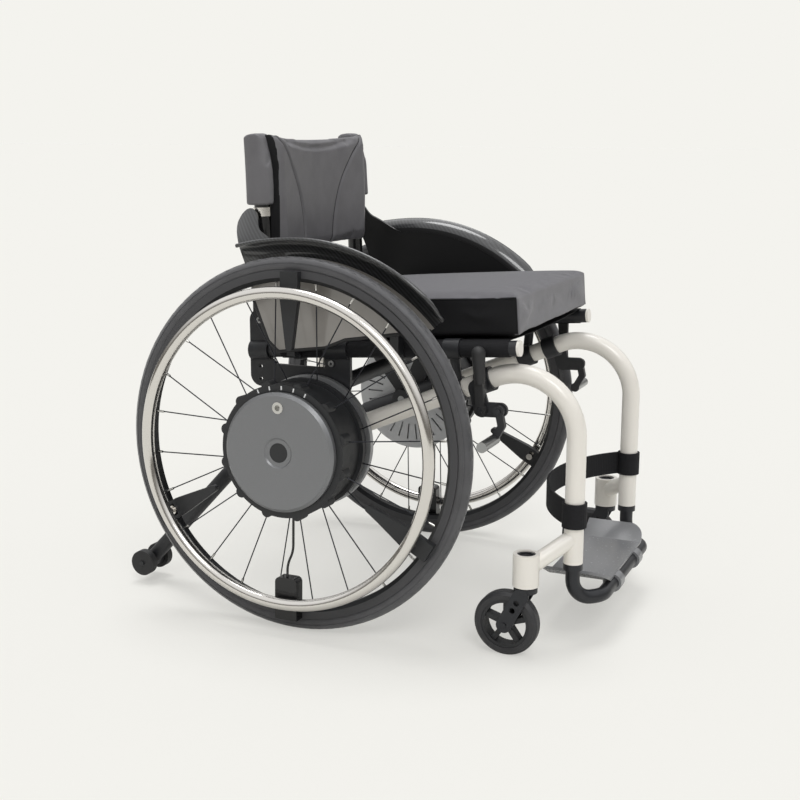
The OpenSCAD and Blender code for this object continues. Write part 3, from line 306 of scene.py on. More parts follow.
nickel, tree, surface, where = start_material("turned_nickel_plate", "#c9c8c4", 0.24, 1.0)
turning = add_node(tree, "ShaderNodeTexNoise", {"Scale": per_mm(0.5), "Detail": 2.0}, {"Vector": where})
gloss = add_node(tree, "ShaderNodeMapRange", {"To Min": 0.16, "To Max": 0.34},
                 {"Value": turning.outputs["Fac"]})
tree.links.new(gloss.outputs["Result"], surface.inputs["Roughness"])
rim_well = 0.2575
flange_r = 0.101
outer_flange, inner_flange = 0.028, -0.030
lace_step = math.radians(15)
hook_step = math.radians(2.5)
spoke_count = 24
nipple_r, nipple_length, nipple_sunk, nipple_aside = 0.002, 0.012, 0.001, 0.001
loose_nipples = []
for k in range(spoke_count):
    lean_to = 1 if k % 2 else -1
    lobe_turn = lace_step * (k - k % 2 + 1)
    hub_turn = lobe_turn + lean_to * hook_step
    rim_turn = lobe_turn + lean_to * lace_step / 2
    hub_end = Vector((flange_r * math.cos(hub_turn), flange_r * math.sin(hub_turn),
                      inner_flange if k % 2 else outer_flange))
    rim_end = Vector((rim_well * math.cos(rim_turn), rim_well * math.sin(rim_turn),
                      -lean_to * nipple_aside))
    along = (rim_end - hub_end).normalized()
    bpy.ops.object.select_all(action="DESELECT")
    bpy.ops.mesh.primitive_cylinder_add(vertices=12, radius=nipple_r, depth=nipple_length,
                                        location=rim_end - along * (nipple_length / 2 - nipple_sunk),
                                        rotation=along.to_track_quat("Z", "Y").to_euler())
    loose_nipples.append(bpy.context.object)
nipples = join_all(loose_nipples, "spoke_nipples_right")
bpy.ops.object.transform_apply()
nipples.data.transform(wheel_place)
nipples.data.materials.append(nickel)
settle(mirrored(nipples, "spoke_nipples_left"), "wheel_left", "spoke_steel")
settle(nipples, "wheel_right", "spoke_steel")

# Hub shells, buttons and lugs: glass-filled nylon moulded in a sparked tool, which leaves a
# fine even grain, near black.
moulded_nylon, tree, surface, where = start_material("moulded_black_nylon", "#232426", 0.5)
spark = add_node(tree, "ShaderNodeTexNoise", {"Scale": per_mm(0.8), "Detail": 3.0}, {"Vector": where})
relief = add_node(tree, "ShaderNodeBump", {"Strength": 0.3, "Distance": 0.0002},
                  {"Height": spark.outputs["Fac"]})
tree.links.new(relief.outputs["Normal"], surface.inputs["Normal"])
wear = add_node(tree, "ShaderNodeTexNoise", {"Scale": per_mm(18), "Detail": 2.0}, {"Vector": where})
gloss = add_node(tree, "ShaderNodeMapRange", {"To Min": 0.4, "To Max": 0.58},
                 {"Value": wear.outputs["Fac"]})
tree.links.new(gloss.outputs["Result"], surface.inputs["Roughness"])
dress(moulded_nylon, *both("hub_shell", "release_button", "rim_lugs"))

# Wheel sensors: a sealed box in glossy black plastic clipped to the rim, with a short moulded
# lead that runs into the hub.
gloss_black, tree, surface, where = start_material("glossy_black_plastic", "#1b1b1c", 0.16)
smear = add_node(tree, "ShaderNodeTexNoise", {"Scale": per_mm(6), "Detail": 4.0}, {"Vector": where})
gloss = add_node(tree, "ShaderNodeMapRange", {"To Min": 0.1, "To Max": 0.26},
                 {"Value": smear.outputs["Fac"]})
tree.links.new(gloss.outputs["Result"], surface.inputs["Roughness"])
dress(gloss_black, *both("wheel_sensor"))

# Hub covers: satin graphite paint over a moulded disc, slightly metallic, with a dished
# middle round the release button.
graphite_paint, tree, surface, where = start_material("satin_graphite_paint", "#7d7e80", 0.36, 0.35)
flake = add_node(tree, "ShaderNodeTexNoise", {"Scale": per_mm(0.7), "Detail": 2.0}, {"Vector": where})
shade = add_node(tree, "ShaderNodeValToRGB", {}, {"Fac": flake.outputs["Fac"]})
shade.color_ramp.elements[0].color = linear_colour("#747577")
shade.color_ramp.elements[1].color = linear_colour("#868789")
tree.links.new(shade.outputs["Color"], surface.inputs["Base Color"])
dress(graphite_paint, *both("hub_cover"))

# Charging sockets and lamps: a turned nickel socket ring, and five light-pipe windows of
# milky acrylic in the bezel above it.
milky_acrylic, tree, surface, where = start_material("milky_acrylic_window", "#e9eaea", 0.3)
cloud = add_node(tree, "ShaderNodeTexNoise", {"Scale": per_mm(2.0)}, {"Vector": where})
gloss = add_node(tree, "ShaderNodeMapRange", {"To Min": 0.22, "To Max": 0.38},
                 {"Value": cloud.outputs["Fac"]})
tree.links.new(gloss.outputs["Result"], surface.inputs["Roughness"])
socket_up, socket_reach = 0.070, 0.011
for name, flip in (("charge_panel_right", 1), ("charge_panel_left", -1)):
    dress(nickel, name)
    nodes[name].data.materials.append(milky_acrylic)
    to_wheel = (Matrix.Scale(flip, 4, Vector((0, 1, 0))) @ wheel_place).inverted()
    for face in nodes[name].data.polygons:
        spot = to_wheel @ face.center
        off_socket = math.hypot(spot.x, spot.y - socket_up)
        face.material_index = 0 if off_socket < socket_reach else 1

# Inner hub covers, axles and bearings: bare die-cast aluminium with cooling slots, and
# ground steel for everything that turns on the axle.
cast_alloy, tree, surface, where = start_material("die_cast_aluminium", "#b4b5b7", 0.46, 0.9)
skin = add_node(tree, "ShaderNodeTexNoise", {"Scale": per_mm(1.6), "Detail": 5.0}, {"Vector": where})
relief = add_node(tree, "ShaderNodeBump", {"Strength": 0.25, "Distance": 0.0003},
                  {"Height": skin.outputs["Fac"]})
tree.links.new(relief.outputs["Normal"], surface.inputs["Normal"])
dress(cast_alloy, *both("hub_back_cover"))
ground_steel, tree, surface, where = start_material("ground_steel", "#9b9c9c", 0.3, 1.0)
grind = add_node(tree, "ShaderNodeTexNoise", {"Scale": per_mm(1.2), "Detail": 3.0}, {"Vector": where})
gloss = add_node(tree, "ShaderNodeMapRange", {"To Min": 0.2, "To Max": 0.42},
                 {"Value": grind.outputs["Fac"]})
tree.links.new(gloss.outputs["Result"], surface.inputs["Roughness"])
dress(ground_steel, "motor_axles", "bearings", "magnet_rotors", "frame_bolts")

# Stators and cells, shut inside the hubs: enamelled copper windings, and cells in blue
# shrink sleeve.
enamelled_copper, tree, surface, where = start_material("enamelled_copper", "#9a5a2c", 0.35, 0.9)
turns = add_node(tree, "ShaderNodeTexWave", {"Scale": per_mm(4.0), "Distortion": 0.4},
                 {"Vector": where}, bands_direction="Y")
relief = add_node(tree, "ShaderNodeBump", {"Strength": 0.5, "Distance": 0.0004},
                  {"Height": turns.outputs["Fac"]})
tree.links.new(relief.outputs["Normal"], surface.inputs["Normal"])
dress(enamelled_copper, *both("stator"))
shrink_sleeve, tree, surface, where = start_material("blue_shrink_sleeve", "#3b6aa0", 0.4)
ripple = add_node(tree, "ShaderNodeTexNoise", {"Scale": per_mm(5.0)}, {"Vector": where})
gloss = add_node(tree, "ShaderNodeMapRange", {"To Min": 0.3, "To Max": 0.5},
                 {"Value": ripple.outputs["Fac"]})
tree.links.new(gloss.outputs["Result"], surface.inputs["Roughness"])
dress(shrink_sleeve, *both("battery_pack"))

# Hand rims: stainless tube bent to a hoop and polished, with the faint lengthwise lines
# that polishing leaves.
polished_steel, tree, surface, where = start_material("polished_stainless_steel", "#d9d6d1", 0.14, 1.0)
polish = add_node(tree, "ShaderNodeTexNoise", {"Scale": per_mm(9.0), "Detail": 5.0}, {"Vector": where})
gloss = add_node(tree, "ShaderNodeMapRange", {"To Min": 0.08, "To Max": 0.2},
                 {"Value": polish.outputs["Fac"]})
tree.links.new(gloss.outputs["Result"], surface.inputs["Roughness"])
dress(polished_steel, *both("handrim"))

# Side frames: hydroformed alloy tube with welded caster arms, powder coated white. The
# coat has a faint orange peel and a soft gloss.
white_coat, tree, surface, where = start_material("white_powder_coat", "#f0ece4", 0.32)
surface.inputs["Coat Weight"].default_value = 0.35
surface.inputs["Coat Roughness"].default_value = 0.18
peel = add_node(tree, "ShaderNodeTexNoise", {"Scale": per_mm(1.8), "Detail": 1.0}, {"Vector": where})
relief = add_node(tree, "ShaderNodeBump", {"Strength": 0.08, "Distance": 0.0003},
                  {"Height": peel.outputs["Fac"]})
tree.links.new(relief.outputs["Normal"], surface.inputs["Normal"])
dress(white_coat, "side_frames", "rail_caps")

# Cross tube, castings, plates, rails and brackets: alloy in a fine-textured black powder
# coat that scatters the light softly.
black_coat, tree, surface, where = start_material("black_powder_coat", "#222326", 0.46)
texture = add_node(tree, "ShaderNodeTexNoise", {"Scale": per_mm(0.7), "Detail": 2.0}, {"Vector": where})
relief = add_node(tree, "ShaderNodeBump", {"Strength": 0.3, "Distance": 0.0002},
                  {"Height": texture.outputs["Fac"]})
tree.links.new(relief.outputs["Normal"], surface.inputs["Normal"])
dress(black_coat, "cross_tube", "axle_housings", "side_plates", "seat_rails", "rail_brackets",
      "back_brackets", "brake_mounts", "antitip_tube", "caster_caps")

# Brake arms: black coated steel links, each with a bare turned roller pin that presses on
# the tyre.
roller_x, roller_z = axle_x + 0.312, 0.327
roller_reach, link_side = 0.0082, 0.2249
for name in both("brake_arm"):
    dress(black_coat, name)
    nodes[name].data.materials.append(ground_steel)
    for face in nodes[name].data.polygons:
        off_pin = math.hypot(face.center.x - roller_x, face.center.z - roller_z)
        on_pin = off_pin < roller_reach and abs(face.center.y) > link_side
        face.material_index = 1 if on_pin else 0

# Back canes: gloss black alloy tubes joined by a bowed bar, each with a bright clamp ring
# just under the upholstery.
pivot_ahead, pivot_up, back_lean = -0.098, 0.515, math.radians(2.5)
cane_half, cane_skin = 0.168, 0.0132
ring_low, ring_high = 0.127, 0.143
back_place = (Matrix.Translation((axle_x + pivot_ahead, 0, pivot_up))
              @ Matrix.Rotation(-back_lean, 4, "Y"))
dress(gloss_black, "back_frame")
nodes["back_frame"].data.materials.append(polished_steel)
for face in nodes["back_frame"].data.polygons:
    spot = back_place.inverted() @ face.center
    off_cane = math.hypot(spot.x, abs(spot.y) - cane_half)
    face.material_index = 1 if ring_low < spot.z < ring_high and off_cane > cane_skin else 0

# Brake levers and anti-tip rollers: soft black rubber moulded over a metal core. The levers
# turn on the brake mounts, and the two rollers share one pin at the tube's end.
soft_rubber, tree, surface, where = start_material("soft_black_rubber", "#242425", 0.6)
dust = add_node(tree, "ShaderNodeTexNoise", {"Scale": per_mm(1.1), "Detail": 4.0}, {"Vector": where})
relief = add_node(tree, "ShaderNodeBump", {"Strength": 0.3, "Distance": 0.0003},
                  {"Height": dust.outputs["Fac"]})
tree.links.new(relief.outputs["Normal"], surface.inputs["Normal"])
dress(soft_rubber, *both("brake_lever"), "antitip_wheels")

# Casters: nylon five-spoke cores with dark polyurethane tyres cast on, in dark anodised forks
# that swivel in the frame's barrels. The footrest tube has the forks' finish.
grey_urethane, tree, surface, where = start_material("grey_polyurethane", "#2f3031", 0.5)
scuff = add_node(tree, "ShaderNodeTexNoise", {"Scale": per_mm(7.0), "Detail": 4.0}, {"Vector": where})
shade = add_node(tree, "ShaderNodeValToRGB", {}, {"Fac": scuff.outputs["Fac"]})
shade.color_ramp.elements[0].color = linear_colour("#29292b")
shade.color_ramp.elements[1].color = linear_colour("#363638")
tree.links.new(shade.outputs["Color"], surface.inputs["Base Color"])
dress(grey_urethane, *both("caster_tyre"))
dress(moulded_nylon, *both("caster_wheel"))
dark_anodised, tree, surface, where = start_material("dark_anodised_alloy", "#333437", 0.36, 0.55)
blast = add_node(tree, "ShaderNodeTexNoise", {"Scale": per_mm(0.8), "Detail": 2.0}, {"Vector": where})
relief = add_node(tree, "ShaderNodeBump", {"Strength": 0.15, "Distance": 0.0002},
                  {"Height": blast.outputs["Fac"]})
tree.links.new(relief.outputs["Normal"], surface.inputs["Normal"])
dress(dark_anodised, *both("caster_fork"), "footrest_tube")

# Footplate: a dished moulding in glossy dark plastic, hooked on the footrest tube so that it
# can be flipped up.
# The base colour is a mid grey, lighter than the dark plastic itself, standing in for its reflections:
# painted reflection
gloss_plastic, tree, surface, where = start_material("glossy_dark_plastic", "#7f8082", 0.2)
scratch = add_node(tree, "ShaderNodeTexNoise", {"Scale": per_mm(4.0), "Detail": 5.0}, {"Vector": where})
gloss = add_node(tree, "ShaderNodeMapRange", {"To Min": 0.14, "To Max": 0.34},
                 {"Value": scratch.outputs["Fac"]})
tree.links.new(gloss.outputs["Result"], surface.inputs["Roughness"])
dress(gloss_plastic, "footplate")

# Side guards: a panel of laid-up twill carbon in clear resin inside each wheel, with a wing that
# rises behind the back cane and a lip that flares out over the tyre. The tows are 1.8 mm wide and
# pass over two and under two. Below the lip the panel is satin grey outside, black inside.
lip_from = 0.291
twill_carbon, tree, surface, where = start_material("clear_coated_twill_carbon", "#222326", 0.4)
surface.inputs["Coat Weight"].default_value = 1.0
surface.inputs["Coat Roughness"].default_value = 0.08
axes = add_node(tree, "ShaderNodeSeparateXYZ", {}, {"Vector": where})
rows = []
for axis in ("X", "Z"):
    tows = add_node(tree, "ShaderNodeMath", {1: per_mm(1.8)},
                    {0: axes.outputs[axis]}, operation="MULTIPLY")
    rows.append(add_node(tree, "ShaderNodeMath", {}, {0: tows.outputs[0]}, operation="FLOOR"))
step = add_node(tree, "ShaderNodeMath", {},
                {0: rows[0].outputs[0], 1: rows[1].outputs[0]}, operation="ADD")
phase = add_node(tree, "ShaderNodeMath", {1: 4.0}, {0: step.outputs[0]}, operation="FLOORED_MODULO")
over = add_node(tree, "ShaderNodeMath", {1: 1.5}, {0: phase.outputs[0]}, operation="LESS_THAN")
weave = add_node(tree, "ShaderNodeValToRGB", {}, {"Fac": over.outputs[0]})
weave.color_ramp.elements[0].color = linear_colour("#0e0f10")
weave.color_ramp.elements[1].color = linear_colour("#2e2f31")
from_axle = add_node(tree, "ShaderNodeVectorMath", {1: (axle_x, 0.0, axle_z)},
                     {0: where}, operation="SUBTRACT")
flattened = add_node(tree, "ShaderNodeVectorMath", {1: (1.0, 0.0, 1.0)},
                     {0: from_axle.outputs[0]}, operation="MULTIPLY")
reach = add_node(tree, "ShaderNodeVectorMath", {}, {0: flattened.outputs[0]}, operation="LENGTH")
below_lip = add_node(tree, "ShaderNodeMath", {1: lip_from},
                     {0: reach.outputs["Value"]}, operation="LESS_THAN")
skin = add_node(tree, "ShaderNodeMix", {"B": linear_colour("#928e89")},
                {"Factor": below_lip.outputs[0], "A": weave.outputs["Color"]}, data_type="RGBA")
tree.links.new(skin.outputs["Result"], surface.inputs["Base Color"])
plain_resin, tree, surface, where = start_material("plain_black_resin", "#0d0d0e", 0.55)
surface.inputs["Specular IOR Level"].default_value = 0.3
print_through = add_node(tree, "ShaderNodeTexNoise", {"Scale": per_mm(1.8), "Detail": 2.0},
                         {"Vector": where})
relief = add_node(tree, "ShaderNodeBump", {"Strength": 0.15, "Distance": 0.0002},
                  {"Height": print_through.outputs["Fac"]})
tree.links.new(relief.outputs["Normal"], surface.inputs["Normal"])
guard_half, guard_wall, guard_r = 0.2235, 0.003, 0.3215
guard_start, panel_end, lip_end = 42, 97, 110
tip_drop, tip_span = 0.012, 7
rear_rise, rear_from, rear_span = 0.005, 92, 18
flare_full, flare_front, flare_rear, flare_end = 0.0225, 11, 12, 116
roll_r, roll_in = 0.0032, 0.001
guard_top = axle_z + 0.322
wing_top = [(0.025, 0.001), (0.014, 0.004), (0.007, 0.012), (0.003, 0.024), (-0.003, 0.034),
            (-0.013, 0.0395), (-0.024, 0.038), (-0.033, 0.030), (-0.037, 0.017)]
wing_rear = [(0.007, -0.1018), (0.003, -0.083), (0.000, -0.066), (-0.006, -0.050), (-0.012, -0.036),
             (-0.019, -0.022), (-0.026, -0.010), (-0.034, 0.003), (-0.036, 0.010)]
wing_foot, wing_front, curl_front = 0.600, pivot_ahead + 0.045, pivot_ahead + 0.010
wing_lean, wing_curl = 0.625, 5.0
high_back, high_front = -0.037, 0.253
low_edge = [(-0.066, 0.452), (-0.048, 0.436), (0.034, 0.447), (0.069, 0.462), (0.236, 0.489)]


def low_at(ahead):
    for (x0, z0), (x1, z1) in zip(low_edge, low_edge[1:]):
        if ahead <= x1:
            return z0 + (z1 - z0) * (ahead - x0) / (x1 - x0)
    return low_edge[-1][1]


def flare_at(degrees):
    front = min(1.0, max(0.0, (degrees - guard_start) / flare_front))
    rear = min(1.0, max(0.0, (flare_end - degrees) / flare_rear))
    return flare_full * math.sqrt((1 - (1 - front) ** 2) * rear)


def ring_point(degrees, radius):
    turn = math.radians(degrees)
    radius += rear_rise * max(0.0, (degrees - rear_from) / rear_span) ** 2
    radius -= tip_drop * max(0.0, (guard_start + tip_span - degrees) / tip_span) ** 2
    return Vector((radius * math.cos(turn), axle_z + radius * math.sin(turn)))


def tube_along(name, points, radius, roundness, capped=False):
    curve = bpy.data.curves.new(name, "CURVE")
    curve.dimensions = "3D"
    curve.bevel_depth = radius
    curve.bevel_resolution = roundness
    curve.use_fill_caps = capped
    line = curve.splines.new("POLY")
    line.points.add(len(points) - 1)
    for knot, place in zip(line.points, points):
        knot.co = (*place, 1.0)
    tube = bpy.data.objects.new(name, curve)
    bpy.context.scene.collection.objects.link(tube)
    select_only(tube)
    bpy.ops.object.convert(target="MESH")
    return bpy.context.object


panel_columns = []
low_back, low_front = low_edge[0][0], low_edge[-1][0]
for k in range(25):
    degrees = guard_start + (panel_end - guard_start) * k / 24
    high = ring_point(degrees, guard_r - flare_at(degrees))
    low_x = low_back + (low_front - low_back) * (high.x - high_back) / (high_front - high_back)
    panel_columns.append((high, Vector((low_x, low_at(low_x)))))
for high, rear in zip(wing_top, wing_rear):
    panel_columns.append((Vector((pivot_ahead + high[0], guard_top + high[1])),
                          Vector((pivot_ahead + rear[0], guard_top + rear[1]))))
lip_turns = [guard_start + (lip_end - guard_start) * k / 30 for k in range(31)]
panel_rows, lip_rows = 7, 8
shells = []
for columns, rows in ((len(panel_columns), panel_rows), (len(lip_turns), lip_rows)):
    bpy.ops.object.select_all(action="DESELECT")
    bpy.ops.mesh.primitive_grid_add(x_subdivisions=columns - 1, y_subdivisions=rows - 1, size=1.0)
    shell = bpy.context.object
    for point in shell.data.vertices:
        column = round((point.co.x + 0.5) * (columns - 1))
        share = point.co.y + 0.5
        if rows == panel_rows:
            high, low = panel_columns[column]
            spot = low.lerp(high, share)
            lean = wing_lean * max(0.0, spot.y - wing_foot) if spot.x < wing_front else 0.0
            curl = wing_curl * max(0.0, curl_front - spot.x) ** 2
            point.co = (axle_x + spot.x, lean + curl - guard_half, spot.y)
        else:
            flare = flare_at(lip_turns[column])
            bend = share * math.pi / 2
            spot = ring_point(lip_turns[column], guard_r - flare * (1 - math.sin(bend)))
            point.co = (axle_x + spot.x, -guard_half - flare * (1 - math.cos(bend)), spot.y)
    smoother = shell.modifiers.new("smoother", "SUBSURF")
    smoother.levels = 1
    smoother.render_levels = 1
    laminate = shell.modifiers.new("laminate", "SOLIDIFY")
    laminate.thickness = guard_wall
    laminate.offset = 0.0
    select_only(shell)
    bpy.ops.object.modifier_apply(modifier="smoother")
    bpy.ops.object.modifier_apply(modifier="laminate")
    shells.append(shell)
lip_edge = []
for degrees in lip_turns:
    spot = ring_point(degrees, guard_r - roll_in)
    lip_edge.append((axle_x + spot.x, -guard_half - flare_at(degrees), spot.y))
shells.append(tube_along("lip_roll", lip_edge, roll_r, 4, capped=True))
guard = join_all(shells, "guard_shell_right")
guard.data.materials.append(twill_carbon)
guard.data.materials.append(plain_resin)
for face in guard.data.polygons:
    face.material_index = 1 if face.normal.y > 0.6 and face.center.y > -guard_half else 0
settle(mirrored(guard, "guard_shell_left"), "chair", "carbon")
settle(guard, "chair", "carbon", "side_guards")

# Guard edging: a black rubber bead pushed over the lower edge of each guard, from the back
# bracket round to the front.
bead_r = 0.0032
edge_points = [(-0.091, pivot_up)] + low_edge[:-1] + [tuple(panel_columns[0][1])]
edge_run = [(axle_x + ahead, -guard_half, up) for ahead, up in edge_points]
bead = tube_along("guard_edging_right", edge_run, bead_r, 3)
bead.data.materials.append(soft_rubber)
settle(mirrored(bead, "guard_edging_left"), "chair", "grip_black")
settle(bead, "chair", "grip_black")

# Seat sling: woven nylon cloth pulled tight between the rails, sewn into a sleeve round each
# of them. Its ribs run across the seat.
seat_slope = math.radians(4.2)
rail_half = 0.190
rail_skin = 0.0122
seat_place = Matrix.Translation((axle_x, 0, 0.437)) @ Matrix.Rotation(-seat_slope, 4, "Y")
wave_unit = 0.314  # a wave texture of scale 1 repeats at this length
woven_webbing, tree, surface, where = start_material("woven_nylon_webbing", "#171719", 0.8)
surface.inputs["Specular IOR Level"].default_value = 0.3
relief = None
for axis in ("X", "Z"):
    ribs = add_node(tree, "ShaderNodeTexWave", {"Scale": per_mm(2.2) * wave_unit, "Distortion": 0.2},
                    {"Vector": where}, bands_direction=axis)
    links = {"Height": ribs.outputs["Fac"]}
    if relief:
        links["Normal"] = relief.outputs["Normal"]
    relief = add_node(tree, "ShaderNodeBump", {"Strength": 0.45, "Distance": 0.0004}, links)
tree.links.new(relief.outputs["Normal"], surface.inputs["Normal"])
lint = add_node(tree, "ShaderNodeTexNoise", {"Scale": per_mm(4.0), "Detail": 4.0}, {"Vector": where})
shade = add_node(tree, "ShaderNodeValToRGB", {}, {"Fac": lint.outputs["Fac"]})
shade.color_ramp.elements[0].color = linear_colour("#121214")
shade.color_ramp.elements[1].color = linear_colour("#1e1e21")
tree.links.new(shade.outputs["Color"], surface.inputs["Base Color"])

sling_back, sling_front = -0.058, 0.326
sling_rows, sling_columns = 60, 30
sling_dip, sling_wall = 0.004, 0.0012
wrap_turn = math.radians(200)
wrap_run = wrap_turn * rail_skin
sling_width = 2 * (rail_half + wrap_run)
bpy.ops.object.select_all(action="DESELECT")
bpy.ops.mesh.primitive_grid_add(x_subdivisions=sling_columns, y_subdivisions=sling_rows, size=1.0)
sling = bpy.context.object
sling.name = "seat_sling_cloth"
for point in sling.data.vertices:
    along = sling_back + (point.co.x + 0.5) * (sling_front - sling_back)
    across = point.co.y * sling_width
    spare = abs(across) - rail_half
    side = 1 if across > 0 else -1
    if spare <= 0:
        dip = sling_dip * (1 - (across / rail_half) ** 2)
        point.co = (along, across, rail_skin - dip)
    else:
        turn = spare / rail_skin
        point.co = (along, side * (rail_half + rail_skin * math.sin(turn)), rail_skin * math.cos(turn))
cloth_wall = sling.modifiers.new("cloth_wall", "SOLIDIFY")
cloth_wall.thickness = sling_wall
cloth_wall.offset = 1.0
select_only(sling)
bpy.ops.object.modifier_apply(modifier="cloth_wall")
sling.data.transform(seat_place)
sling.data.materials.append(woven_webbing)
settle(sling, "chair", "webbing", "seat_sling")

# Cushion: a foam block in a sewn cover, dark grey knitted cloth over the top and front and
# black cloth at the sides, joined by a seam along each side edge. It lies on the sling.
cushion_size = (0.382, 0.380, 0.058)
cushion_base = 0.0163
cushion_middle = (0.151, 0.0, cushion_base + 0.031)
front_waist, side_waist, top_crown = 0.003, 0.004, 0.006
seam_width, seam_lift = 0.0022, 0.0002
cloth_steps = 20


def divided_cube(name, cuts):
    bpy.ops.object.select_all(action="DESELECT")
    bpy.ops.mesh.primitive_cube_add(size=1.0)
    bpy.ops.object.mode_set(mode="EDIT")
    bpy.ops.mesh.subdivide(number_cuts=cuts)
    bpy.ops.object.mode_set(mode="OBJECT")
    bpy.context.object.name = name
    return bpy.context.object


def stuff(piece, voxel, pressure, cap):
    select_only(piece)
    even = piece.modifiers.new("even_mesh", "REMESH")
    even.mode = "VOXEL"
    even.voxel_size = voxel
    bpy.ops.object.modifier_apply(modifier="even_mesh")
    start = [point.co.copy() for point in piece.data.vertices]
    filling = piece.modifiers.new("filling", "CLOTH")
    filling.settings.use_pressure = True
    filling.settings.uniform_pressure_force = pressure
    filling.settings.effector_weights.gravity = 0.0
    for step_number in range(1, cloth_steps + 1):
        bpy.context.scene.frame_set(step_number)
    bpy.ops.object.modifier_apply(modifier="filling")
    bpy.context.scene.frame_set(1)
    for point, first in zip(piece.data.vertices, start):
        move = point.co - first
        if move.length > cap:
            point.co = first + move * (cap / move.length)


def smooth_once(piece):
    finer = piece.modifiers.new("finer", "SUBSURF")
    finer.levels = 1
    finer.render_levels = 1
    select_only(piece)
    bpy.ops.object.modifier_apply(modifier="finer")


def sewn_line(name, route, thickness, target, toward=None):
    places = []
    for start in route:
        if toward:
            near, normal = target.ray_cast(start, toward)[1:3]
        else:
            near, normal = target.closest_point_on_mesh(start)[1:3]
        places.append(near + normal * seam_lift)
    return tube_along(name, places, thickness / 2, 2)


cushion = divided_cube("foam_cushion", 18)
for point in cushion.data.vertices:
    u, v, w = point.co.x * 2, point.co.y * 2, point.co.z * 2
    waist = 1 - w * w
    point.co = (
        cushion_middle[0] + u * (cushion_size[0] / 2 - front_waist * waist * (1 - v * v)),
        v * (cushion_size[1] / 2 - side_waist * waist * (1 - u * u)),
        cushion_middle[2] + w * cushion_size[2] / 2
        + (top_crown * (1 - u ** 4) * (1 - v ** 4) if w > 0.99 else 0.0),
    )
stuff(cushion, 0.005, 4.0, 0.005)
for point in cushion.data.vertices:
    point.co.z = max(point.co.z, cushion_base)
smooth_once(cushion)

# Knitted cover: courses of loops 1.6 mm apart, drawn a little coarse so that they show
knit_cover, tree, surface, where = start_material("knitted_seat_cover", "#636266", 0.8)
surface.inputs["Sheen Weight"].default_value = 0.25
relief = None
for axis in ("X", "Y"):
    loops = add_node(tree, "ShaderNodeTexWave", {"Scale": per_mm(1.6) * wave_unit, "Distortion": 0.6},
                     {"Vector": where}, bands_direction=axis)
    links = {"Height": loops.outputs["Fac"]}
    if relief:
        links["Normal"] = relief.outputs["Normal"]
    relief = add_node(tree, "ShaderNodeBump", {"Strength": 0.35, "Distance": 0.0004}, links)
tree.links.new(relief.outputs["Normal"], surface.inputs["Normal"])
lint = add_node(tree, "ShaderNodeTexNoise", {"Scale": per_mm(14.0), "Detail": 5.0}, {"Vector": where})
shade = add_node(tree, "ShaderNodeValToRGB", {}, {"Fac": lint.outputs["Fac"]})
shade.color_ramp.elements[0].color = linear_colour("#5b5a5e")
shade.color_ramp.elements[1].color = linear_colour("#6d6c71")
tree.links.new(shade.outputs["Color"], surface.inputs["Base Color"])
black_cloth, tree, surface, where = start_material("black_border_cloth", "#151517", 0.8)
surface.inputs["Specular IOR Level"].default_value = 0.25
threads = add_node(tree, "ShaderNodeTexWave", {"Scale": per_mm(1.4) * wave_unit, "Distortion": 0.3},
                   {"Vector": where}, bands_direction="DIAGONAL")
relief = add_node(tree, "ShaderNodeBump", {"Strength": 0.35, "Distance": 0.0003},
                  {"Height": threads.outputs["Fac"]})
tree.links.new(relief.outputs["Normal"], surface.inputs["Normal"])
cushion.data.materials.append(knit_cover)
cushion.data.materials.append(black_cloth)
for face in cushion.data.polygons:
    face.material_index = 1 if abs(face.normal.y) > 0.72 or face.normal.z < -0.8 else 0
seams = []
for side in (-1, 1):
    edge = cushion_size[1] / 2 * side
    high = cushion_middle[2] + cushion_size[2] / 2
    back = cushion_middle[0] - cushion_size[0] / 2
    nose = cushion_middle[0] + cushion_size[0] / 2
    route = [Vector((back + (nose - back) * k / 40, edge, high)) for k in range(41)]
    route += [Vector((nose, edge, high - cushion_size[2] * k / 10)) for k in range(1, 11)]
    seams.append(sewn_line("cushion_seam", route, seam_width, cushion))
for seam, name in zip(seams, ("cushion_seam_right", "cushion_seam_left")):
    seam.name = name
    seam.data.transform(seat_place)
    seam.data.materials.append(black_cloth)
cushion.data.transform(seat_place)
settle(cushion, "chair", "seat_cloth", "seat_cushion")
for seam in seams:
    settle(seam, "chair", "seat_cloth")

# Back upholstery: padded synthetic leather stretched between the canes, with two curved
# seams that run inward from the top corners, black cloth at its sides, and a flap sewn round
# each cane.
panel_low, panel_high = 0.065, 0.258
panel_half, panel_back, back_spread = 0.161, 0.0158, 0.014
corner_flare, corner_from, corner_span = 0.006, 0.7, 0.3
sag_half, sag_top, sag_more = 0.151, 0.017, 0.006
brim_dip = 0.007
core_depth, edge_depth, hem_depth = 0.006, 0.005, 0.003
edge_share, hem_share = 0.08, 0.1
groove_depth, groove_width = 0.0036, 0.004
fold_depth, fold_width, fold_down, fold_half = 0.005, 0.0045, 0.012, 0.125
ripple_depth, ripple_pitch, ripple_beat, ripple_fade = 0.0016, 110.0, 35.0, 2.5
skin_from = 0.005
seam_low, seam_spread, seam_bend = 0.053, 0.110, 2.4
gusset_start, gusset_snap = -0.001, 0.0011


def seam_offset(share):
    return seam_low + seam_spread * (1 - share) ** seam_bend


def half_at(rise):
    return panel_half + corner_flare * max(0.0, (rise - corner_from) / corner_span) ** 1.5


def sag_at(across, rise):
    deepest = sag_top + sag_more * (1 - rise) ** 2
    return panel_back - deepest * max(0.0, 1 - (across / sag_half) ** 2)


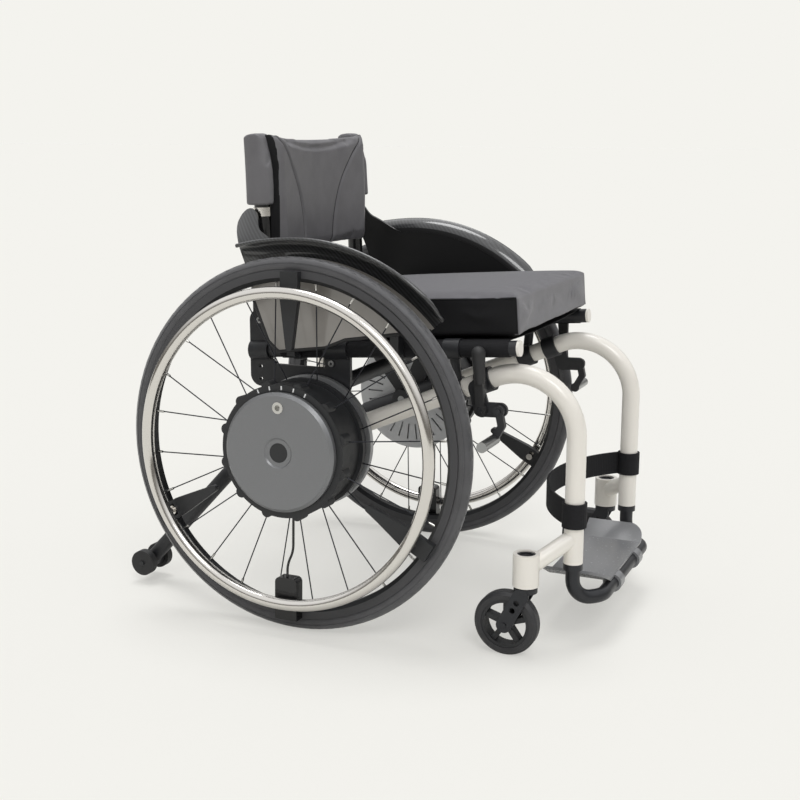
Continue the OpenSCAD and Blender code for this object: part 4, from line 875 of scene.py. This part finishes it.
panel = divided_cube("back_panel", 23)
for point in panel.data.vertices:
    rise = point.co.z + 0.5
    half = half_at(rise) + back_spread * (0.5 - point.co.x)
    across = point.co.y * 2 * half
    brim = brim_dip * (1 - (point.co.y * 2) ** 2)
    edge = min(1.0, min(rise, 1 - rise) / edge_share)
    hem = min(1.0, (1 - abs(point.co.y * 2)) / hem_share)
    depth = core_depth + edge_depth * math.sqrt(edge) + hem_depth * math.sqrt(max(0.0, hem))
    point.co = (
        sag_at(across, rise) + (point.co.x + 0.5) * depth,
        across,
        panel_low + rise * (panel_high - brim - panel_low),
    )
stuff(panel, 0.004, 3.0, 0.004)
smooth_once(panel)
for point in panel.data.vertices:
    share = (panel_high - point.co.z) / (panel_high - panel_low)
    gap = abs(abs(point.co.y) - seam_offset(min(1.0, max(0.0, share))))
    if point.co.x > sag_at(point.co.y, 1 - share) + skin_from:
        point.co.x -= groove_depth * math.exp(-(gap / groove_width) ** 2)
        middle = max(0.0, 1 - (point.co.y / fold_half) ** 2)
        from_fold = point.co.z - (panel_high - fold_down - fold_down * middle)
        point.co.x -= fold_depth * math.sqrt(middle) * math.exp(-(from_fold / fold_width) ** 2)
        pull = max(0.0, 1 - share * ripple_fade)
        beat = math.cos(point.co.y * ripple_beat)
        point.co.x += ripple_depth * pull * math.sin(point.co.y * ripple_pitch) * beat
    border = half_at(1 - share) + gusset_start
    if abs(abs(point.co.y) - border) < gusset_snap:
        point.co.y = math.copysign(border, point.co.y)
for face in panel.data.polygons:
    rise = (face.center.z - panel_low) / (panel_high - panel_low)
    face.material_index = 1 if abs(face.center.y) > half_at(rise) + gusset_start else 0

# Synthetic leather: an embossed pebble grain about 1.5 mm across, drawn coarse enough to show, over
# broad folds whose hollows are painted darker (painted shade)
soft_leather, tree, surface, where = start_material("soft_synthetic_leather", "#68676a", 0.45)
pebbles = add_node(tree, "ShaderNodeTexVoronoi", {"Scale": per_mm(1.5)}, {"Vector": where})
relief = add_node(tree, "ShaderNodeBump", {"Strength": 0.28, "Distance": 0.0004},
                  {"Height": pebbles.outputs["Distance"]})
creases = add_node(tree, "ShaderNodeTexNoise", {"Scale": per_mm(30.0), "Detail": 3.0},
                   {"Vector": where})
folds = add_node(tree, "ShaderNodeBump", {"Strength": 0.3, "Distance": 0.003},
                 {"Height": creases.outputs["Fac"], "Normal": relief.outputs["Normal"]})
tree.links.new(folds.outputs["Normal"], surface.inputs["Normal"])
# Painted shade: the base colour follows the fold noise, darker in the fold hollows and lighter on the
# ridges
shade = add_node(tree, "ShaderNodeValToRGB", {}, {"Fac": creases.outputs["Fac"]})
shade.color_ramp.elements[0].color = linear_colour("#605f62")
shade.color_ramp.elements[1].color = linear_colour("#727174")
tree.links.new(shade.outputs["Color"], surface.inputs["Base Color"])
black_thread, tree, surface, where = start_material("black_polyester_thread", "#2c2c2f", 0.6)
twist = add_node(tree, "ShaderNodeTexNoise", {"Scale": per_mm(0.8)}, {"Vector": where})
relief = add_node(tree, "ShaderNodeBump", {"Strength": 0.4, "Distance": 0.0002},
                  {"Height": twist.outputs["Fac"]})
tree.links.new(relief.outputs["Normal"], surface.inputs["Normal"])

thread_width = 0.0018
seam_start, seam_run, seam_ahead = 0.05, 0.91, 0.04
back_seams = []
for side in (-1, 1):
    route = []
    for k in range(49):
        share = seam_start + seam_run * k / 48
        across = side * seam_offset(share)
        up = panel_high - share * (panel_high - panel_low)
        route.append(Vector((panel_back + seam_ahead, across, up)))
    back_seams.append(sewn_line("back_seam", route, thread_width, panel, Vector((-1, 0, 0))))

# Flaps: each goes round the cane and ends ahead of it in a thin tongue beside the panel
flap_low, flap_tall, flap_droop = 0.146, 0.112, 0.004
flap_shift, flap_reach, flap_cutback, cutback_from = 0.001, 0.025, 0.010, 0.55
flap_wall, foot_spread = 0.0165, 0.002
tongue_from, tongue_span, wall_inside = 0.0125, 0.006, -0.0155
flaps = []
for side in (-1, 1):
    flap = divided_cube("back_flap", 15)
    for point in flap.data.vertices:
        u, v, w = point.co.x * 2, point.co.y * 2 * side, point.co.z + 0.5
        round_off = 1 - 0.2 * u * u * v * v
        cutback = flap_cutback * max(0.0, u) * max(0.0, w - cutback_from) / (1 - cutback_from)
        ahead = flap_shift + flap_reach * u * round_off - cutback
        tongue = min(1.0, max(0.0, (ahead - tongue_from) / tongue_span))
        inner = wall_inside + flap_wall * tongue
        outer = flap_wall + foot_spread * (1 - w) ** 2
        point.co = (
            ahead,
            side * (cane_half + (inner + outer) / 2 + (outer - inner) / 2 * v * round_off),
            flap_low + flap_tall * w - flap_droop * w * u * u,
        )
    stuff(flap, 0.004, 3.0, 0.003)
    smooth_once(flap)
    flaps.append(flap)
for piece, name in zip([panel] + flaps, ("back_panel", "back_flap_right", "back_flap_left")):
    piece.name = name
    piece.data.transform(back_place)
    piece.data.materials.append(soft_leather)
    settle(piece, "backrest", "back_leather")
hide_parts("back_upholstery")
panel.data.materials.append(black_cloth)
for seam, name in zip(back_seams, ("back_seam_right", "back_seam_left")):
    seam.name = name
    seam.data.transform(back_place)
    seam.data.materials.append(black_thread)
    settle(seam, "backrest", "back_leather")

# Calf strap: nylon webbing 38 mm wide, looped round both front legs and hanging slack in a
# shallow bow behind the calves.
leg_x = axle_x + 0.425
leg_half = 0.170
strap_low, strap_high = 0.192, 0.230
strap_wall = 0.0036
loop_r = 0.0171
strap_sag, strap_end, strap_set = 0.070, 0.166, 0.014
bow_r = (strap_end ** 2 + strap_sag ** 2) / (2 * strap_sag)
bow_turn = math.asin(strap_end / bow_r)
bow_x = leg_x - strap_set + bow_r - strap_sag
bow = [Vector((bow_x - bow_r * math.cos(a), bow_r * math.sin(a), 0))
       for a in [bow_turn * (k / 30 - 1) for k in range(61)]]
ribbons = [bow]
for side in (-1, 1):
    ribbons.append([Vector((leg_x + loop_r * math.cos(a), side * leg_half + loop_r * math.sin(a), 0))
                    for a in [2 * math.pi * k / 40 for k in range(41)]])
bands = []
for ribbon in ribbons:
    bpy.ops.object.select_all(action="DESELECT")
    bpy.ops.mesh.primitive_grid_add(x_subdivisions=len(ribbon) - 1, y_subdivisions=8, size=1.0)
    band = bpy.context.object
    for point in band.data.vertices:
        spot = ribbon[round((point.co.x + 0.5) * (len(ribbon) - 1))]
        height = strap_low + (point.co.y + 0.5) * (strap_high - strap_low)
        point.co = (spot.x, spot.y, height)
    bands.append(band)
strap = join_all(bands, "calf_webbing")
bpy.ops.object.mode_set(mode="EDIT")
bpy.ops.mesh.select_all(action="SELECT")
bpy.ops.mesh.remove_doubles(threshold=0.0001)
bpy.ops.object.mode_set(mode="OBJECT")
wall = strap.modifiers.new("webbing_wall", "SOLIDIFY")
wall.thickness = strap_wall
wall.offset = 0.0
bpy.ops.object.modifier_apply(modifier="webbing_wall")
strap.data.materials.append(woven_webbing)
settle(strap, "chair", "webbing", "calf_strap")
